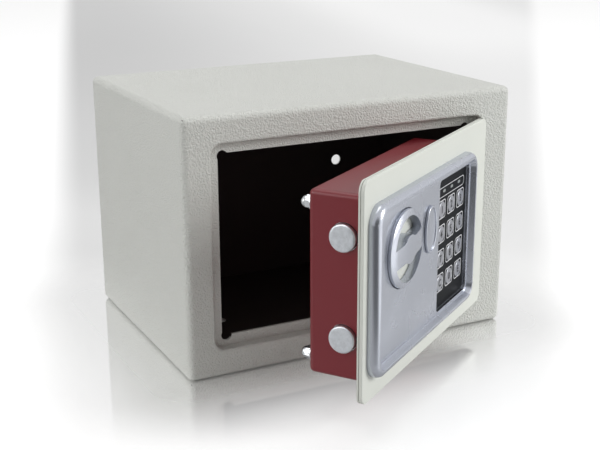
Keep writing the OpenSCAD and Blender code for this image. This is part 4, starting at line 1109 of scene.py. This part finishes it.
# %% What the silver parts see of the floor
SHEET_DARK = (0.04, 0.04, 0.04)
MIRRORED_GLOW = 0.5
floor_path = add_node(sheet, "ShaderNodeLightPath")
seen_directly, seen_mirrored = (floor_path.outputs["Is Camera Ray"],
                                floor_path.outputs["Is Glossy Ray"])
to_the_right, to_the_back = along((1, 0, 0)), along((0, 1, 0))
in_front = soft_step(to_the_back, 1, 0, -0.36, -0.27)
at_right = soft_step(to_the_right, 0, 1, 0.02, 0.14)
dark_share = times(in_front, plain_math(sheet, "SUBTRACT", 1, at_right))
bright_share = times(at_right, soft_step(to_the_back, 1, 0, -0.24, -0.14))
sheet_shader = sheet.node_tree.nodes["Principled BSDF"]
sheet_shader.inputs["Emission Color"].default_value = (1, 1, 1, 1)
mirrored_light = times(times(bright_share, MIRRORED_GLOW), seen_mirrored)
link(sheet, total(times(glow, seen_directly), mirrored_light),
     sheet_shader.inputs["Emission Strength"])
link(sheet, ramp(sheet, times(dark_share, seen_mirrored), SHEET_WHITE, SHEET_DARK, (0, 1)),
     sheet_shader.inputs["Base Color"])

# %% [markdown]
# Close to the safe the sheet mirrors it almost fully, and the mirror fades into white within a
# hand's width, as in the photograph. So a gloss shader is mixed in by the distance from the
# cabinet's base, which is how far a place lies outside the base's rectangle.

# %% Floor mirror that fades with the distance from the cabinet
NO_LIMIT = 10  # upwards the base has no edge
half_base = ((cad_high[0] - cad_low[0]) / 2, cad_high[1], NO_LIMIT)
outside = vector_math(sheet, "SUBTRACT", vector_math(sheet, "ABSOLUTE", floor_place), half_base)
distance = vector_math(sheet, "LENGTH", vector_math(sheet, "MAXIMUM", outside))
mirror_share = soft_step(distance, 0.90, 0.02, -0.01, 0.093)
mirror = add_node(sheet, "ShaderNodeBsdfGlossy",
                  {"Color": (0.97, 0.97, 0.97, 1), "Roughness": 0.05})
blend_of_both = add_node(sheet, "ShaderNodeMixShader",
                         {0: mirror_share, 1: sheet_shader.outputs[0], 2: mirror.outputs[0]})
link(sheet, blend_of_both.outputs[0], sheet.node_tree.nodes["Material Output"].inputs["Surface"])
print("floor nodes with the mirror", len(sheet.node_tree.nodes))

# %% [markdown]
# The lamps are large and soft. The main one stands at the right and lights the open door. One on
# the left is for the cabinet's side, and one is above. The world fills the shadows; for mirrored
# rays it is dark straight in front, as the unlit end of a studio is.

# %% Lamps and surroundings
TARGET = Vector((0, -0.05, 0.08))


def lamp(name, place, size, power):
    """A rectangular lamp that looks at the safe; power in watts."""
    data = bpy.data.lights.new(name, "AREA")
    data.shape = "RECTANGLE"
    data.size, data.size_y = size
    data.energy = power
    made = bpy.data.objects.new(name, data)
    bpy.context.scene.collection.objects.link(made)
    made.location = place
    made.rotation_euler = (TARGET - Vector(place)).to_track_quat("-Z", "Y").to_euler()


lamp("lamp_right", (1.7, -1.3, 0.95), (0.9, 1.1), 30)
lamp("lamp_left", (-2.0, 0.1, 0.85), (1.2, 1.2), 14)
lamp("lamp_above", (-0.1, 0.3, 2.1), (1.6, 1.2), 14)

SHADOW_LEVEL, SEEN_LEVEL, DARK_LEVEL = 0.30, 0.80, 0.08
DARK_DIRECTION = (-0.26, -0.966, 0)
world = bpy.data.worlds.new("studio")
bpy.context.scene.world = world
world.use_nodes = True
background = world.node_tree.nodes["Background"]
background.inputs["Color"].default_value = (1, 1, 1, 1)
world_path = add_node(world, "ShaderNodeLightPath")
seen = plain_math(world, "MAXIMUM", world_path.outputs["Is Camera Ray"],
                  world_path.outputs["Is Glossy Ray"])
towards = add_node(world, "ShaderNodeTexCoord").outputs["Generated"]
dark_front = spread(world, vector_math(world, "DOT_PRODUCT", towards, DARK_DIRECTION), 0, 1,
                    (0.72, 0.90), "SMOOTHSTEP")
dark_front = plain_math(world, "MULTIPLY", dark_front, world_path.outputs["Is Glossy Ray"])
level = spread(world, seen, SHADOW_LEVEL, SEEN_LEVEL)
link(world, plain_math(world, "MULTIPLY", level, spread(world, dark_front, 1.0, DARK_LEVEL)),
     background.inputs["Strength"])
bpy.context.scene.view_settings.view_transform = "Standard"
print("lamps", len(bpy.data.lights), "world", world.name)

# %% [markdown]
# ## Sizes
# The visual model's box is worked out and printed, beside the box of the solids printed at the start.
# The visual model must stay inside the box of the solids.

# %% Print the visual model's box
low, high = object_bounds()
print("visual box", [round(v, 4) for v in low], [round(v, 4) for v in high])
